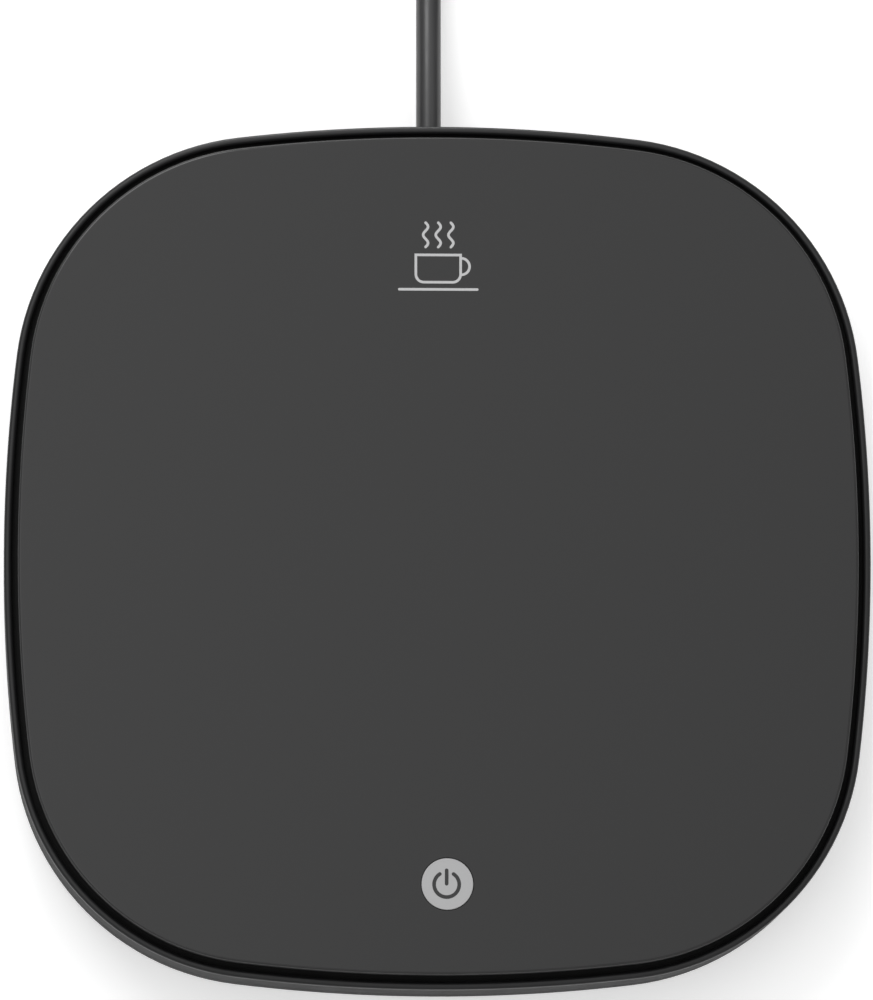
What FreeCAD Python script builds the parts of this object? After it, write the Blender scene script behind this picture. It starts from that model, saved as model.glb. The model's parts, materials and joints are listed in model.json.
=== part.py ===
import FreeCAD, Part
import math
import os
import re

import Sketcher
from FreeCAD import Placement, Rotation, Vector

# Electric mug warmer, in millimetres: +Z up, +Y towards the cord, origin under the middle of the base.

SIZES = {
    # Outline of the rim, four bowed sides and four corner arcs
    "half_width": 60.0,
    "side_bow": 231.0,
    "corner_round": 35.0,
    # Heights of the housing, from the table up
    "foot_stand": 1.5,
    "parting_height": 8.0,
    "rim_height": 19.0,
    "base_floor": 2.0,
    "housing_wall": 2.0,
    "base_round": 2.2,
    # Lip, shelf and joint of the two shells
    "lip_width": 1.1,
    "lip_round": 0.5,
    "shelf_depth": 1.5,
    "shelf_reach": 9.0,
    "shelf_thickness": 2.0,
    "tongue_width": 1.2,
    "tongue_height": 1.6,
    "tongue_clearance": 0.15,
    "joint_reveal": 0.3,
    # Glass and its gasket
    "glass_thickness": 4.0,
    "glass_gap": 0.85,
    "glass_edge_round": 0.35,
    "gasket_thickness": 0.5,
    "gasket_inset": 1.0,
    "gasket_margin": 1.0,
    # Heater stack, hung under the glass
    "heater_back_gap": 20.0,
    "heater_clearance": 0.4,
    "bond_thickness": 0.5,
    "spreader_thickness": 2.0,
    "film_thickness": 0.4,
    "felt_thickness": 2.4,
    "retainer_thickness": 1.0,
    "film_margin": 1.5,
    "probe_hole": 3.0,
    "probe_radius": 2.4,
    "probe_drop": 1.5,
    "ear_setback": 7.0,
    "ear_spacing": 28.0,
    "ear_width": 8.0,
    # Thermal fuse on the retainer
    "fuse_radius": 2.0,
    "fuse_length": 11.0,
    "fuse_offset": 19.0,
    "fuse_clip_wall": 0.6,
    "fuse_clip_width": 5.0,
    # Screws
    "screw_shank": 1.3,
    "screw_head": 2.6,
    "screw_head_height": 1.5,
    "screw_bite": 6.0,
    "screw_clearance": 0.1,
    "hole_clearance": 0.35,
    "boss_radius": 3.2,
    "base_screw_setback": 18.0,
    "base_boss_wall": 1.6,
    "recess_depth": 0.8,
    # Feet
    "foot_radius": 6.0,
    "foot_setback": 28.0,
    "foot_seat": 0.8,
    "foot_clearance": 0.1,
    "foot_round": 0.5,
    # Control board and its parts
    "board_width": 50.0,
    "board_depth": 21.0,
    "board_thickness": 1.6,
    "board_setback": 6.0,
    "board_lift": 2.5,
    "post_radius": 2.6,
    "post_inset": 3.4,
    "board_screw_bite": 3.4,
    # Power key
    "key_across": 1.16,
    "key_setback": 14.4,
    "key_radius": 3.57,
    "key_clearance": 0.1,
    "key_sink": 0.05,
    "key_flange_radius": 4.7,
    "key_flange_height": 1.0,
    "key_stem_radius": 1.6,
    "key_travel": 0.5,
    "seal_thickness": 0.5,
    "seal_radius": 4.9,
    "seal_clearance": 0.05,
    "guide_radius": 5.9,
    "guide_wall": 0.9,
    "guide_web": 1.0,
    "guide_collar": 0.8,
    "switch_side": 6.0,
    "switch_height": 3.4,
    "plunger_radius": 1.6,
    "plunger_stand": 1.1,
    "spring_radius": 2.3,
    "spring_wire": 0.4,
    "spring_turns": 3.0,
    # Cord, grommet and clamp
    "cord_radius": 1.75,
    "cord_across": 0.9,
    "cord_stay": 0.05,
    "grommet_radius": 3.3,
    "grommet_flange": 4.3,
    "grommet_flange_length": 1.2,
    "jacket_reach": 17.0,
    "clamp_back": 7.0,
    "clamp_length": 6.0,
    "clamp_span": 8.0,
    "clamp_thickness": 1.8,
    "clamp_post_radius": 2.4,
    # Coil of the put-away length
    "coil_radius": 27.9,
    "coil_pitch": 4.05,
    "coil_turns": 9.0,
    "tie_width": 6.0,
    "tie_thickness": 0.5,
    # Plug
    "plug_width": 16.0,
    "plug_height": 8.0,
    "plug_length": 20.0,
    "plug_round": 1.6,
    "relief_length": 8.0,
    "relief_radius": 2.9,
    "shell_width": 12.0,
    "shell_height": 4.5,
    "shell_length": 12.0,
    "shell_wall": 0.35,
    "insert_height": 1.8,
    "insert_clearance": 0.05,
    "relief_lip": 0.5,
    "contact_width": 1.4,
    "contact_length": 8.4,
    "contact_height": 0.18,
    "contact_count": 4.0,
    # Film tab, fuse leads and sensor
    "tab_margin": 1.8,
    "tab_half_width": 5.6,
    "fuse_reach": 9.5,
    "fuse_lead_radius": 0.4,
    # Cross recess in the screw heads
    "recess_share": 0.6,
    "recess_width": 0.7,
    # Parts on the board
    "chip_across": 12.0,
    "chip_inset": 9.0,
    "chip_length": 5.0,
    "chip_width": 4.0,
    "chip_height": 1.5,
    "leg_thickness": 0.2,
    "leg_width": 0.4,
    "leg_pairs": 4.0,
    "leg_reach": 1.0,
    "capacitor_across": 19.5,
    "capacitor_inset": 10.5,
    "capacitor_radius": 2.5,
    "capacitor_height": 5.0,
    "resistor_gap": 0.45,
    "resistor_inset": 2.5,
    "resistor_step": 2.2,
    "resistor_width": 0.75,
    "resistor_length": 1.3,
    "resistor_height": 0.55,
    "resistor_count": 5.0,
    "transistor_width": 5.6,
    "transistor_depth": 6.5,
    "transistor_height": 2.1,
    "light_gap": 0.6,
    "light_length": 1.6,
    "connector_spread": 12.0,
    "connector_width": 6.0,
    "connector_depth": 4.0,
    "connector_height": 3.4,
    "plunger_depth": 1.0,
    "wire_spread": 1.1,
    # Inner wires
    "wire_radius": 0.65,
}

doc = FreeCAD.newDocument("mug_warmer")
sheet = doc.addObject("Spreadsheet::Sheet", "Sizes")
for row, (alias, size) in enumerate(SIZES.items(), start=1):
    sheet.set(f"A{row}", alias)
    sheet.set(f"B{row}", str(size))
    sheet.setAlias(f"B{row}", alias)
doc.recompute()

sub_parts = []

# Levels, each a formula of the sizes
BASE_FLOOR_TOP = "(foot_stand + base_floor)"
SHELF_TOP = "(rim_height - shelf_depth)"
SHELF_BASE = f"({SHELF_TOP} - shelf_thickness)"
GLASS_BASE = f"({SHELF_TOP} + gasket_thickness)"
SPREADER_BASE = f"({GLASS_BASE} - bond_thickness - spreader_thickness)"
FILM_BASE = f"({SPREADER_BASE} - film_thickness)"
FELT_BASE = f"({FILM_BASE} - felt_thickness)"
RETAINER_BASE = f"({FELT_BASE} - retainer_thickness)"
BOARD_BASE = f"({BASE_FLOOR_TOP} + board_lift)"
BOARD_TOP = f"({BOARD_BASE} + board_thickness)"
SWITCH_TOP = f"({BOARD_TOP} + switch_height)"
PLUNGER_TOP = f"({SWITCH_TOP} + plunger_stand)"
GUIDE_WEB_BASE = f"({PLUNGER_TOP} + key_clearance)"
GUIDE_WEB_TOP = f"({GUIDE_WEB_BASE} + guide_web)"
SEAL_BASE = f"({GLASS_BASE} - seal_thickness)"
FLANGE_TOP = f"({SEAL_BASE} - seal_clearance)"
FLANGE_BASE = f"({FLANGE_TOP} - key_flange_height)"
KEY_TOP = f"({GLASS_BASE} + glass_thickness - key_sink)"
KEY_HOLE = "(key_radius + key_clearance)"
CORD_REST = "(cord_stay + tie_thickness + cord_stay + cord_radius)"

# Places that follow the housing's outline, and what stands next to them
BASE_SCREW_PLACE = "(half_width - base_screw_setback)"
FOOT_PLACE = "(half_width - foot_setback)"
EAR_SPREAD = "(half_width - ear_setback)"
BOARD_FRONT = "(board_setback - half_width)"
BOARD_REAR = f"({BOARD_FRONT} + board_depth)"
BOARD_SCREW_PLACE = "(board_width / 2 - post_inset)"
KEY_PLACE = ("key_across", "(key_setback - half_width)")
CONNECTOR_REAR = f"({BOARD_REAR} - cord_stay)"
CONNECTOR_FRONT = f"({CONNECTOR_REAR} - connector_depth)"
CONNECTOR_TOP = f"({BOARD_TOP} + connector_height)"
CONNECTOR_MIDDLE = f"({BOARD_TOP} + connector_height / 2)"
TAB_WIRE_PLACE = f"({CONNECTOR_FRONT} + connector_depth / 2)"
TAB_FRONT = f"({TAB_WIRE_PLACE} - wire_radius - tab_margin)"
HEATER_FRONT = f"({TAB_WIRE_PLACE} + wire_radius + heater_clearance)"
HEATER_REAR = "(half_width - heater_back_gap)"
HEATER_RADIUS = f"(({HEATER_REAR} - {HEATER_FRONT}) / 2)"
HEATER_MIDDLE = f"(({HEATER_REAR} + {HEATER_FRONT}) / 2)"
FUSE_PLACE = f"({HEATER_MIDDLE} + fuse_offset)"
CLAMP_BACK = "(half_width - clamp_back)"
CLAMP_FRONT = f"({CLAMP_BACK} - clamp_length)"
GROMMET_LENGTH = "(housing_wall + tongue_clearance + tongue_width + hole_clearance)"
GROMMET_BASE = f"(half_width - {GROMMET_LENGTH})"
CONNECTORS = {
    "supply_connector": "(-connector_spread)",
    "heater_connector": "0",
    "sensor_connector": "connector_spread",
}


def linked(formula):
    """The formula with the sheet's name before each size."""


    def name(word):
        return f"Sizes.{word[0]}" if word[0] in SIZES else word[0]

    return re.sub(r"[a-z_]+", name, str(formula))


def size(formula):
    """The value of a formula of sizes."""
    return float(sheet.evalExpression(linked(formula)))


def bind(thing, field, formula):
    """Ties a property of an object to a formula of sizes."""
    thing.setExpression(field, linked(formula))


def place(thing, across, back, height):
    """Ties an object's position to three formulas."""
    thing.Placement = Placement(Vector(size(across), size(back), size(height)), thing.Placement.Rotation)
    for field, formula in zip("xyz", (across, back, height)):
        bind(thing, f"Placement.Base.{field}", formula)


def keep(thing, label):
    """Names a finished sub-part, which is written to a file of that name."""
    thing.Label = label
    sub_parts.append(thing)
    return thing


# Sketches and the features that stand on them


def new_body(name, across="0", back="0", height="0"):
    body = doc.addObject("PartDesign::Body", name)
    place(body, across, back, height)
    return keep(body, name)


def sketch_on(body, name, role="XY_Plane", rise="0"):
    """A sketch on one of the body's own planes, raised along the plane's normal."""
    sketch = body.newObject("Sketcher::SketchObject", name)
    plane = next(item for item in body.Origin.OriginFeatures if item.Role == role)
    sketch.AttachmentSupport = [(plane, "")]
    sketch.MapMode = "FlatFace"
    sketch.AttachmentOffset = Placement(Vector(0, 0, size(rise)), Rotation())
    bind(sketch, "AttachmentOffset.Base.z", rise)
    return sketch


def fix(sketch, kind, formula, *where):
    """Adds a dimension that follows a formula."""
    index = sketch.addConstraint(Sketcher.Constraint(kind, *where, size(formula)))
    sketch.setExpression(f"Constraints[{index}]", linked(formula))


def fix_point(sketch, geometry, point, across, back):
    """Places a point from the sketch's origin."""
    fix(sketch, "DistanceX", across, -1, 1, geometry, point)
    fix(sketch, "DistanceY", back, -1, 1, geometry, point)


def draw_circle(sketch, across, back, radius):
    centre = Vector(size(across), size(back), 0)
    circle = sketch.addGeometry(Part.Circle(centre, Vector(0, 0, 1), size(radius)), False)
    fix_point(sketch, circle, 3, across, back)
    fix(sketch, "Radius", radius, circle)


def draw_rectangle(sketch, left, right, front, back):
    """A rectangle between four formulas."""
    corners = [(left, front), (right, front), (right, back), (left, back)]
    points = [Vector(size(x), size(y), 0) for x, y in corners]
    lines = [Part.LineSegment(points[n], points[(n + 1) % 4]) for n in range(4)]
    first = sketch.addGeometry(lines, False)[0]
    for n in range(4):
        sketch.addConstraint(Sketcher.Constraint("Coincident", first + n, 2, first + (n + 1) % 4, 1))
    for n, kind in enumerate(("Horizontal", "Vertical", "Horizontal", "Vertical")):
        sketch.addConstraint(Sketcher.Constraint(kind, first + n))
    fix_point(sketch, first, 1, left, front)
    fix_point(sketch, first + 2, 1, right, back)


def draw_outline(sketch, inset):
    """The rim's outline, moved in by an inset: four bowed sides that run into four corner arcs."""
    side = size(f"side_bow - ({inset})")
    corner = size(f"corner_round - ({inset})")
    sink = size("side_bow - half_width")
    corner_place = (math.sqrt(2 * (side - corner) ** 2 - sink**2) - sink) / 2
    half_side = math.atan2(corner_place, corner_place + sink)
    arcs = []
    for n in range(4):
        facing = n * math.pi / 2
        centre = Vector(-sink * math.cos(facing), -sink * math.sin(facing), 0)
        circle = Part.Circle(centre, Vector(0, 0, 1), side)
        arcs.append(Part.ArcOfCircle(circle, facing - half_side, facing + half_side))
        diagonal = facing + math.pi / 4
        reach = corner_place * math.sqrt(2)
        centre = Vector(reach * math.cos(diagonal), reach * math.sin(diagonal), 0)
        circle = Part.Circle(centre, Vector(0, 0, 1), corner)
        arcs.append(Part.ArcOfCircle(circle, facing + half_side, facing + math.pi / 2 - half_side))
    first = sketch.addGeometry(arcs, False)[0]
    for n in range(8):
        sketch.addConstraint(Sketcher.Constraint("Tangent", first + n, 2, first + (n + 1) % 8, 1))
    for n in range(4):
        fix(sketch, "Radius", f"side_bow - ({inset})", first + 2 * n)
        fix(sketch, "Radius", f"corner_round - ({inset})", first + 2 * n + 1)
        along, axis = ("DistanceX", -1) if n % 2 == 0 else ("DistanceY", -2)
        sketch.addConstraint(Sketcher.Constraint("PointOnObject", first + 2 * n, 3, axis))
        sign = "-" if n < 2 else ""
        fix(sketch, along, f"{sign}(side_bow - half_width)", -1, 1, first + 2 * n, 3)


def add_feature(body, kind, name, rise, length, draw, role="XY_Plane"):
    """A pad, or a pocket that cuts the same way, of what draw puts on a sketch at a height."""
    sketch = sketch_on(body, f"{name}_sketch", role, rise)
    draw(sketch)
    before = body.Shape.Volume if kind == "Pocket" else 0.0
    feature = body.newObject(f"PartDesign::{kind}", name)
    feature.Profile = sketch
    bind(feature, "Length", length)
    if kind == "Pocket":
        feature.Reversed = True
    doc.recompute()
    if kind == "Pocket" and feature.Shape.Volume >= before:
        raise RuntimeError(f"{name} cuts nothing")
    sketch.Visibility = False
    return feature


def pad(body, name, rise, length, draw, role="XY_Plane"):
    return add_feature(body, "Pad", name, rise, length, draw, role)


def pocket(body, name, rise, length, draw, role="XY_Plane"):
    return add_feature(body, "Pocket", name, rise, length, draw, role)


def round_edges(body, name, radius, wanted):
    """Fillets the edges of the body's tip that a test picks."""
    tip = body.Tip
    names = [f"Edge{n}" for n, edge in enumerate(tip.Shape.Edges, start=1) if wanted(edge)]
    fillet = body.newObject("PartDesign::Fillet", name)
    fillet.Base = (tip, names)
    bind(fillet, "Radius", radius)
    doc.recompute()
    return fillet


def flat_at(height, beyond=0.0):
    """Tests that an edge lies at a height, and further out than a distance from the middle."""

    def test(edge):
        box = edge.BoundBox
        middle = edge.valueAt((edge.FirstParameter + edge.LastParameter) / 2)
        level = abs(box.ZMin - height) < TINY and abs(box.ZMax - height) < TINY
        return level and math.hypot(middle.x, middle.y) > beyond

    return test


def corners_of(place_formula):
    """Four places, one in each corner."""
    return [(f"{a}({place_formula})", f"{b}({place_formula})") for a in ("", "-") for b in ("", "-")]


def circles(places, radius):
    """A drawing of one circle at each place."""

    def draw(sketch):
        for across, back in places:
            draw_circle(sketch, across, back, radius)

    return draw


def rectangle(left, right, front, back):
    return lambda sketch: draw_rectangle(sketch, left, right, front, back)


def ring(outer, inner):
    """A drawing of the wall between two insets of the outline."""

    def draw(sketch):
        draw_outline(sketch, outer)
        draw_outline(sketch, inner)

    return draw


# Part primitives


def box(name, left, front, base, width, depth, height):
    solid = doc.addObject("Part::Box", name)
    for field, formula in zip(("Length", "Width", "Height"), (width, depth, height)):
        bind(solid, field, formula)
    place(solid, left, front, base)
    return solid


def cylinder(name, across, back, base, radius, height, along=Vector(0, 0, 1)):
    solid = doc.addObject("Part::Cylinder", name)
    bind(solid, "Radius", radius)
    bind(solid, "Height", height)
    solid.Placement.Rotation = Rotation(Vector(0, 0, 1), along)
    place(solid, across, back, base)
    return solid


def cut(name, base, tool):
    solid = doc.addObject("Part::Cut", name)
    solid.Base = base
    solid.Tool = tool
    return solid


def fuse(name, shapes):
    solid = doc.addObject("Part::MultiFuse", name)
    solid.Shapes = shapes
    return solid


def group(name, members):
    solids = doc.addObject("Part::Compound", name)
    solids.Links = members
    return solids


# Tubes along straight runs and tangent arcs

RUN_SHARE = 0.45
TINY = 1e-4


def corner_radius(before, corner, after):
    """The arc at a corner: 0.45 of the shorter run, over the tangent of half the turn."""
    turn = (corner - before).getAngle(after - corner)
    shorter = min(corner.distanceToPoint(before), corner.distanceToPoint(after))
    return RUN_SHARE * shorter / math.tan(turn / 2)


def route_wire(points):
    """Straight runs between the points, with an arc at each corner."""
    edges = []
    start = points[0]
    for before, corner, after in zip(points, points[1:], points[2:]):
        into = (corner - before).normalize()
        out = (after - corner).normalize()
        shorter = min(corner.distanceToPoint(before), corner.distanceToPoint(after))
        arc_start = corner - into * RUN_SHARE * shorter
        arc_end = corner + out * RUN_SHARE * shorter
        radius = corner_radius(before, corner, after)
        inward = (out - into).normalize()
        centre = corner + inward * math.hypot(radius, RUN_SHARE * shorter)
        middle = centre - inward * radius
        edges.append(Part.LineSegment(start, arc_start).toShape())
        edges.append(Part.Arc(arc_start, middle, arc_end).toShape())
        start = arc_end
    edges.append(Part.LineSegment(start, points[-1]).toShape())
    return Part.Wire(edges)


def pipe(wire, radius):
    """A round solid along a wire, checked against its section times its length."""
    first = wire.OrderedEdges[0]
    heading = first.tangentAt(first.FirstParameter)
    start = first.valueAt(first.FirstParameter)
    profile = Part.Wire([Part.Circle(start, heading, radius).toShape()])
    solid = wire.makePipeShell([profile], True, False)
    expected = math.pi * radius**2 * wire.Length
    if abs(solid.Volume - expected) > 0.01 * expected:
        raise RuntimeError(f"a tube holds {solid.Volume:.1f}, not {expected:.1f}")
    return solid


def tubes(name, routes, radius, heading="bend radii"):
    """A sub-part of one tube along each route, with its bend radii printed."""
    solids = [pipe(route_wire(route), size(radius)) for route in routes]
    feature = doc.addObject("Part::Feature", name)
    feature.Shape = solids[0] if len(solids) == 1 else Part.makeCompound(solids)
    feature.Placement = Placement()
    radii = [corner_radius(*three) for route in routes for three in zip(route, route[1:], route[2:])]
    print(name, heading, " ".join(f"{value:.1f}" for value in radii))
    return keep(feature, name)


# Housing


def make_upper_housing():
    body = new_body("upper_housing", height="parting_height")
    top = f"{SHELF_TOP} - parting_height"
    shelf = f"{SHELF_BASE} - parting_height"
    ears = ear_places()
    pad(body, "outer_wall", "joint_reveal", f"{top} - joint_reveal", ring("0", "housing_wall"))
    pad(body, "shelf", shelf, "shelf_thickness", ring("housing_wall / 2", "shelf_reach"))
    pad(body, "lip", top, "shelf_depth", ring("0", "lip_width"))
    bosses = corners_of(BASE_SCREW_PLACE)
    boss = circles(bosses, "boss_radius")
    pad(body, "corner_bosses", "screw_clearance", f"{shelf} - screw_clearance", boss)
    ear_length = f"{SHELF_BASE} - {FELT_BASE}"
    ear_base = f"{FELT_BASE} - parting_height"
    pad(body, "ear_bosses", ear_base, ear_length, circles(ears, "boss_radius"))
    pilot = "screw_shank + screw_clearance / 2"
    pocket(body, "corner_pilots", "0", "screw_bite + screw_clearance", circles(bosses, pilot))
    pocket(body, "ear_pilots", ear_base, f"{ear_length} + shelf_thickness / 2", circles(ears, pilot))
    cord_notch(body, "0")
    lip_top = size("rim_height - parting_height")
    round_edges(body, "lip_round", "lip_round", flat_at(lip_top))
    return body


def make_lower_housing():
    body = new_body("lower_housing", height="foot_stand")
    wall = "parting_height - foot_stand"
    pad(body, "floor", "0", "base_floor", lambda sketch: draw_outline(sketch, "0"))
    pad(body, "outer_wall", "base_floor", f"{wall} - base_floor", ring("0", "housing_wall"))
    round_edges(body, "base_round", "base_round", flat_at(0.0))
    inner = "housing_wall + tongue_clearance"
    tongue = ring(inner, f"{inner} + tongue_width")
    pad(body, "tongue", "base_floor", f"{wall} - base_floor + tongue_height", tongue)
    foot_of_tongue = f"{wall} - base_floor"
    link = ring("housing_wall / 2", f"{inner} + tongue_width / 2")
    pad(body, "tongue_foot", "base_floor", foot_of_tongue, link)
    seats = corners_of(BASE_SCREW_PLACE)
    boss = "screw_head + hole_clearance + base_boss_wall"
    pad(body, "corner_bosses", "base_floor", f"{wall} - base_floor", circles(seats, boss))
    posts = board_screw_places()
    pad(body, "board_posts", "base_floor", "board_lift", circles(posts, "post_radius"))
    clamps = clamp_places()
    post_height = f"parting_height + cord_radius - {BASE_FLOOR_TOP}"
    pad(body, "clamp_posts", "base_floor", post_height, circles(clamps, "clamp_post_radius"))
    saddle = rectangle("-cord_across - clamp_span", "clamp_span - cord_across", CLAMP_FRONT, CLAMP_BACK)
    saddle_height = f"parting_height - cord_radius - {BASE_FLOOR_TOP} - cord_stay"
    pad(body, "cord_saddle", "base_floor", saddle_height, saddle)
    head_room = "screw_head + hole_clearance"
    depth = "base_floor"
    pocket(body, "head_recesses", "0", depth, circles(seats, head_room))
    pocket(body, "screw_holes", depth, wall, circles(seats, "screw_shank + hole_clearance"))
    feet = corners_of(FOOT_PLACE)
    pocket(body, "foot_seats", "0", "foot_seat", circles(feet, "foot_radius + foot_clearance"))
    pilot = "screw_shank + screw_clearance / 2"
    board_pilot = "base_floor + board_lift - board_screw_bite - screw_clearance"
    board_bite = "board_screw_bite + screw_clearance * 2"
    pocket(body, "board_pilots", board_pilot, board_bite, circles(posts, pilot))
    clamp_pilot = f"base_floor + {post_height} - screw_bite - screw_clearance"
    pocket(body, "clamp_pilots", clamp_pilot, "screw_bite + screw_clearance * 2", circles(clamps, pilot))
    cord_notch(body, wall)
    return body


def cord_notch(body, height):
    """The grommet's half round notch through the back wall, at the joint of the two shells."""
    notch = circles([("-cord_across", height)], "grommet_radius + cord_stay")
    back_pocket(body, "grommet_notch", GROMMET_BASE, f"{GROMMET_LENGTH} + housing_wall", notch)


def back_pocket(body, name, start, length, draw):
    """A pocket through the back wall: XZ sketches look along -Y, so they sit at minus the distance."""
    sketch = sketch_on(body, f"{name}_sketch", "XZ_Plane", f"-({start})")
    draw(sketch)
    before = body.Shape.Volume
    feature = body.newObject("PartDesign::Pocket", name)
    feature.Profile = sketch
    bind(feature, "Length", length)
    doc.recompute()
    if feature.Shape.Volume >= before:
        raise RuntimeError(f"{name} cuts nothing")


def clamp_places():
    middle = f"({CLAMP_FRONT} + clamp_length / 2)"
    return [("clamp_span - cord_across", middle), ("-clamp_span - cord_across", middle)]


def board_screw_places():
    front = f"({BOARD_FRONT} + post_inset)"
    back = f"({BOARD_REAR} - post_inset)"
    return [(f"{sign}{BOARD_SCREW_PLACE}", y) for sign in ("", "-") for y in (front, back)]


def ear_places():
    """The retainer's screws, two at each side."""
    back = f"({HEATER_MIDDLE} + ear_spacing / 2)"
    front = f"({HEATER_MIDDLE} - ear_spacing / 2)"
    return [(f"{sign}{EAR_SPREAD}", y) for sign in ("", "-") for y in (front, back)]


def make_glass():
    body = new_body("top_glass", height=GLASS_BASE)
    inset = "lip_width + glass_gap"
    pad(body, "plate", "0", "glass_thickness", lambda sketch: draw_outline(sketch, inset))
    pocket(body, "key_hole", "0", "glass_thickness", circles([KEY_PLACE], KEY_HOLE))
    beyond = size("half_width - shelf_reach")
    round_edges(body, "polished_edge", "glass_edge_round", flat_at(size("glass_thickness"), beyond))
    return body


def make_gasket():
    body = new_body("glass_gasket", height=SHELF_TOP)
    outer = "lip_width + glass_gap + gasket_inset"
    pad(body, "frame", "0", "gasket_thickness", ring(outer, "shelf_reach - gasket_margin"))
    return body


# Heater stack


def make_heater():
    centre = ("0", HEATER_MIDDLE)
    probe = circles([centre], "probe_hole")
    disc = circles([centre], HEATER_RADIUS)
    bond = new_body("spreader_bond", height=f"{SPREADER_BASE} + spreader_thickness")
    pad(bond, "disc", "0", "bond_thickness", circles([centre], f"{HEATER_RADIUS} - film_margin / 2"))
    plate = new_body("heat_spreader", height=SPREADER_BASE)
    pad(plate, "disc", "0", "spreader_thickness", disc)
    film = new_body("heating_film", height=FILM_BASE)
    pad(film, "disc", "0", "film_thickness", circles([centre], f"{HEATER_RADIUS} - film_margin"))
    under_disc = f"{HEATER_MIDDLE} - {HEATER_RADIUS} / 2"
    tab = rectangle("-tab_half_width", "tab_half_width", TAB_FRONT, under_disc)
    pad(film, "tab", "0", "film_thickness", tab)
    pocket(film, "probe_hole", "0", "film_thickness", probe)
    felt = new_body("insulation_pad", height=FELT_BASE)
    pad(felt, "disc", "0", "felt_thickness", disc)
    pocket(felt, "probe_hole", "0", "felt_thickness", probe)
    make_retainer(centre, disc, probe)
    sensor = new_body("temperature_sensor", back=HEATER_MIDDLE, height=f"{FILM_BASE} - probe_drop")
    length = "probe_drop + film_thickness"
    pad(sensor, "bead", "0", length, circles([("0", "0")], "probe_radius"))
    round_edges(sensor, "bead_round", "probe_radius / 4", flat_at(0.0))


def make_retainer(centre, disc, probe):
    body = new_body("heater_retainer", height=RETAINER_BASE)
    pad(body, "disc", "0", "retainer_thickness", disc)
    half = "ear_width / 2"
    for n, (across, back) in enumerate(ear_places()):
        side = "-" if across.startswith("-") else ""
        edges = sorted((f"{side}({EAR_SPREAD} + {half})", f"{side}({HEATER_RADIUS} / 2)"), key=size)
        arm = rectangle(*edges, f"{back} - {half}", f"{back} + {half}")
        pad(body, f"ear_{n + 1}", "0", "retainer_thickness", arm)
    holes = circles(ear_places(), "screw_shank + hole_clearance / 2")
    pocket(body, "ear_holes", "0", "retainer_thickness", holes)
    pocket(body, "probe_hole", "0", "retainer_thickness", probe)
    return body


def make_fuse():
    height = f"({RETAINER_BASE} - fuse_radius - cord_stay)"
    along = Vector(1, 0, 0)
    can = cylinder("fuse_can", "-fuse_length / 2", FUSE_PLACE, height, "fuse_radius", "fuse_length", along)
    leads = cylinder("fuse_leads", "-fuse_reach", FUSE_PLACE, height, "fuse_lead_radius",
                     "2 * fuse_reach", along)
    keep(fuse("fuse_body", [can, leads]), "thermal_fuse")
    inner = "(fuse_radius + cord_stay)"
    outer = f"({inner} + fuse_clip_wall)"
    left = "-fuse_clip_width / 2"
    saddle_height = f"{RETAINER_BASE} - {height}"
    saddle = box("clip_block", left, f"{FUSE_PLACE} - {outer}", height, "fuse_clip_width",
                 f"2 * {outer}", saddle_height)
    hoop = cylinder("clip_hoop", left, FUSE_PLACE, height, outer, "fuse_clip_width", along)
    bore = cylinder("clip_bore", left, FUSE_PLACE, height, inner, "fuse_clip_width", along)
    throat = box("clip_throat", left, f"{FUSE_PLACE} - {inner}", height, "fuse_clip_width",
                 f"2 * {inner}", outer)
    above = box("clip_above", left, f"{FUSE_PLACE} - {outer}", RETAINER_BASE, "fuse_clip_width",
                f"2 * {outer}", outer)
    inside = fuse("clip_inside", [bore, throat, above])
    keep(cut("clip", fuse("clip_outside", [saddle, hoop]), inside), "fuse_clip")


# Screws and feet


def make_screws(name, places, head_base, reach, upwards=True):
    """Pan head screws: the head from its base, a shank beyond it and a cross recess in the head."""
    body = new_body(name, height=head_base)
    reach_base = "screw_head_height" if upwards else f"-({reach})"
    pad(body, "heads", "0", "screw_head_height", circles(places, "screw_head"))
    outside = 0.0 if upwards else size("screw_head_height")
    round_edges(body, "head_round", "screw_head_height / 3", flat_at(outside))
    pad(body, "shanks", reach_base, reach, circles(places, "screw_shank"))
    recess_base = "0" if upwards else "screw_head_height - recess_depth"
    long, thin = "(screw_head * recess_share)", "(recess_width / 2)"
    for n, (half_across, half_back) in enumerate(((long, thin), (thin, long))):
        def draw(sketch):
            for x, y in places:
                draw_rectangle(sketch, f"{x} - {half_across}", f"{x} + {half_across}",
                               f"{y} - {half_back}", f"{y} + {half_back}")
        pocket(body, f"recess_{n + 1}", recess_base, "recess_depth", draw)
    return body


def make_feet():
    body = new_body("rubber_feet")
    places = corners_of(FOOT_PLACE)
    pad(body, "discs", "0", "foot_stand + foot_seat", circles(places, "foot_radius"))
    round_edges(body, "foot_round", "foot_round", flat_at(0.0))
    return body


# Control board


def make_board():
    body = new_body("control_board", height=BOARD_BASE)
    outline = rectangle("-board_width / 2", "board_width / 2", BOARD_FRONT, BOARD_REAR)
    pad(body, "plate", "0", "board_thickness", outline)
    holes = circles(board_screw_places(), "screw_shank + screw_clearance")
    pocket(body, "screw_holes", "0", "board_thickness", holes)
    return body


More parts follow.
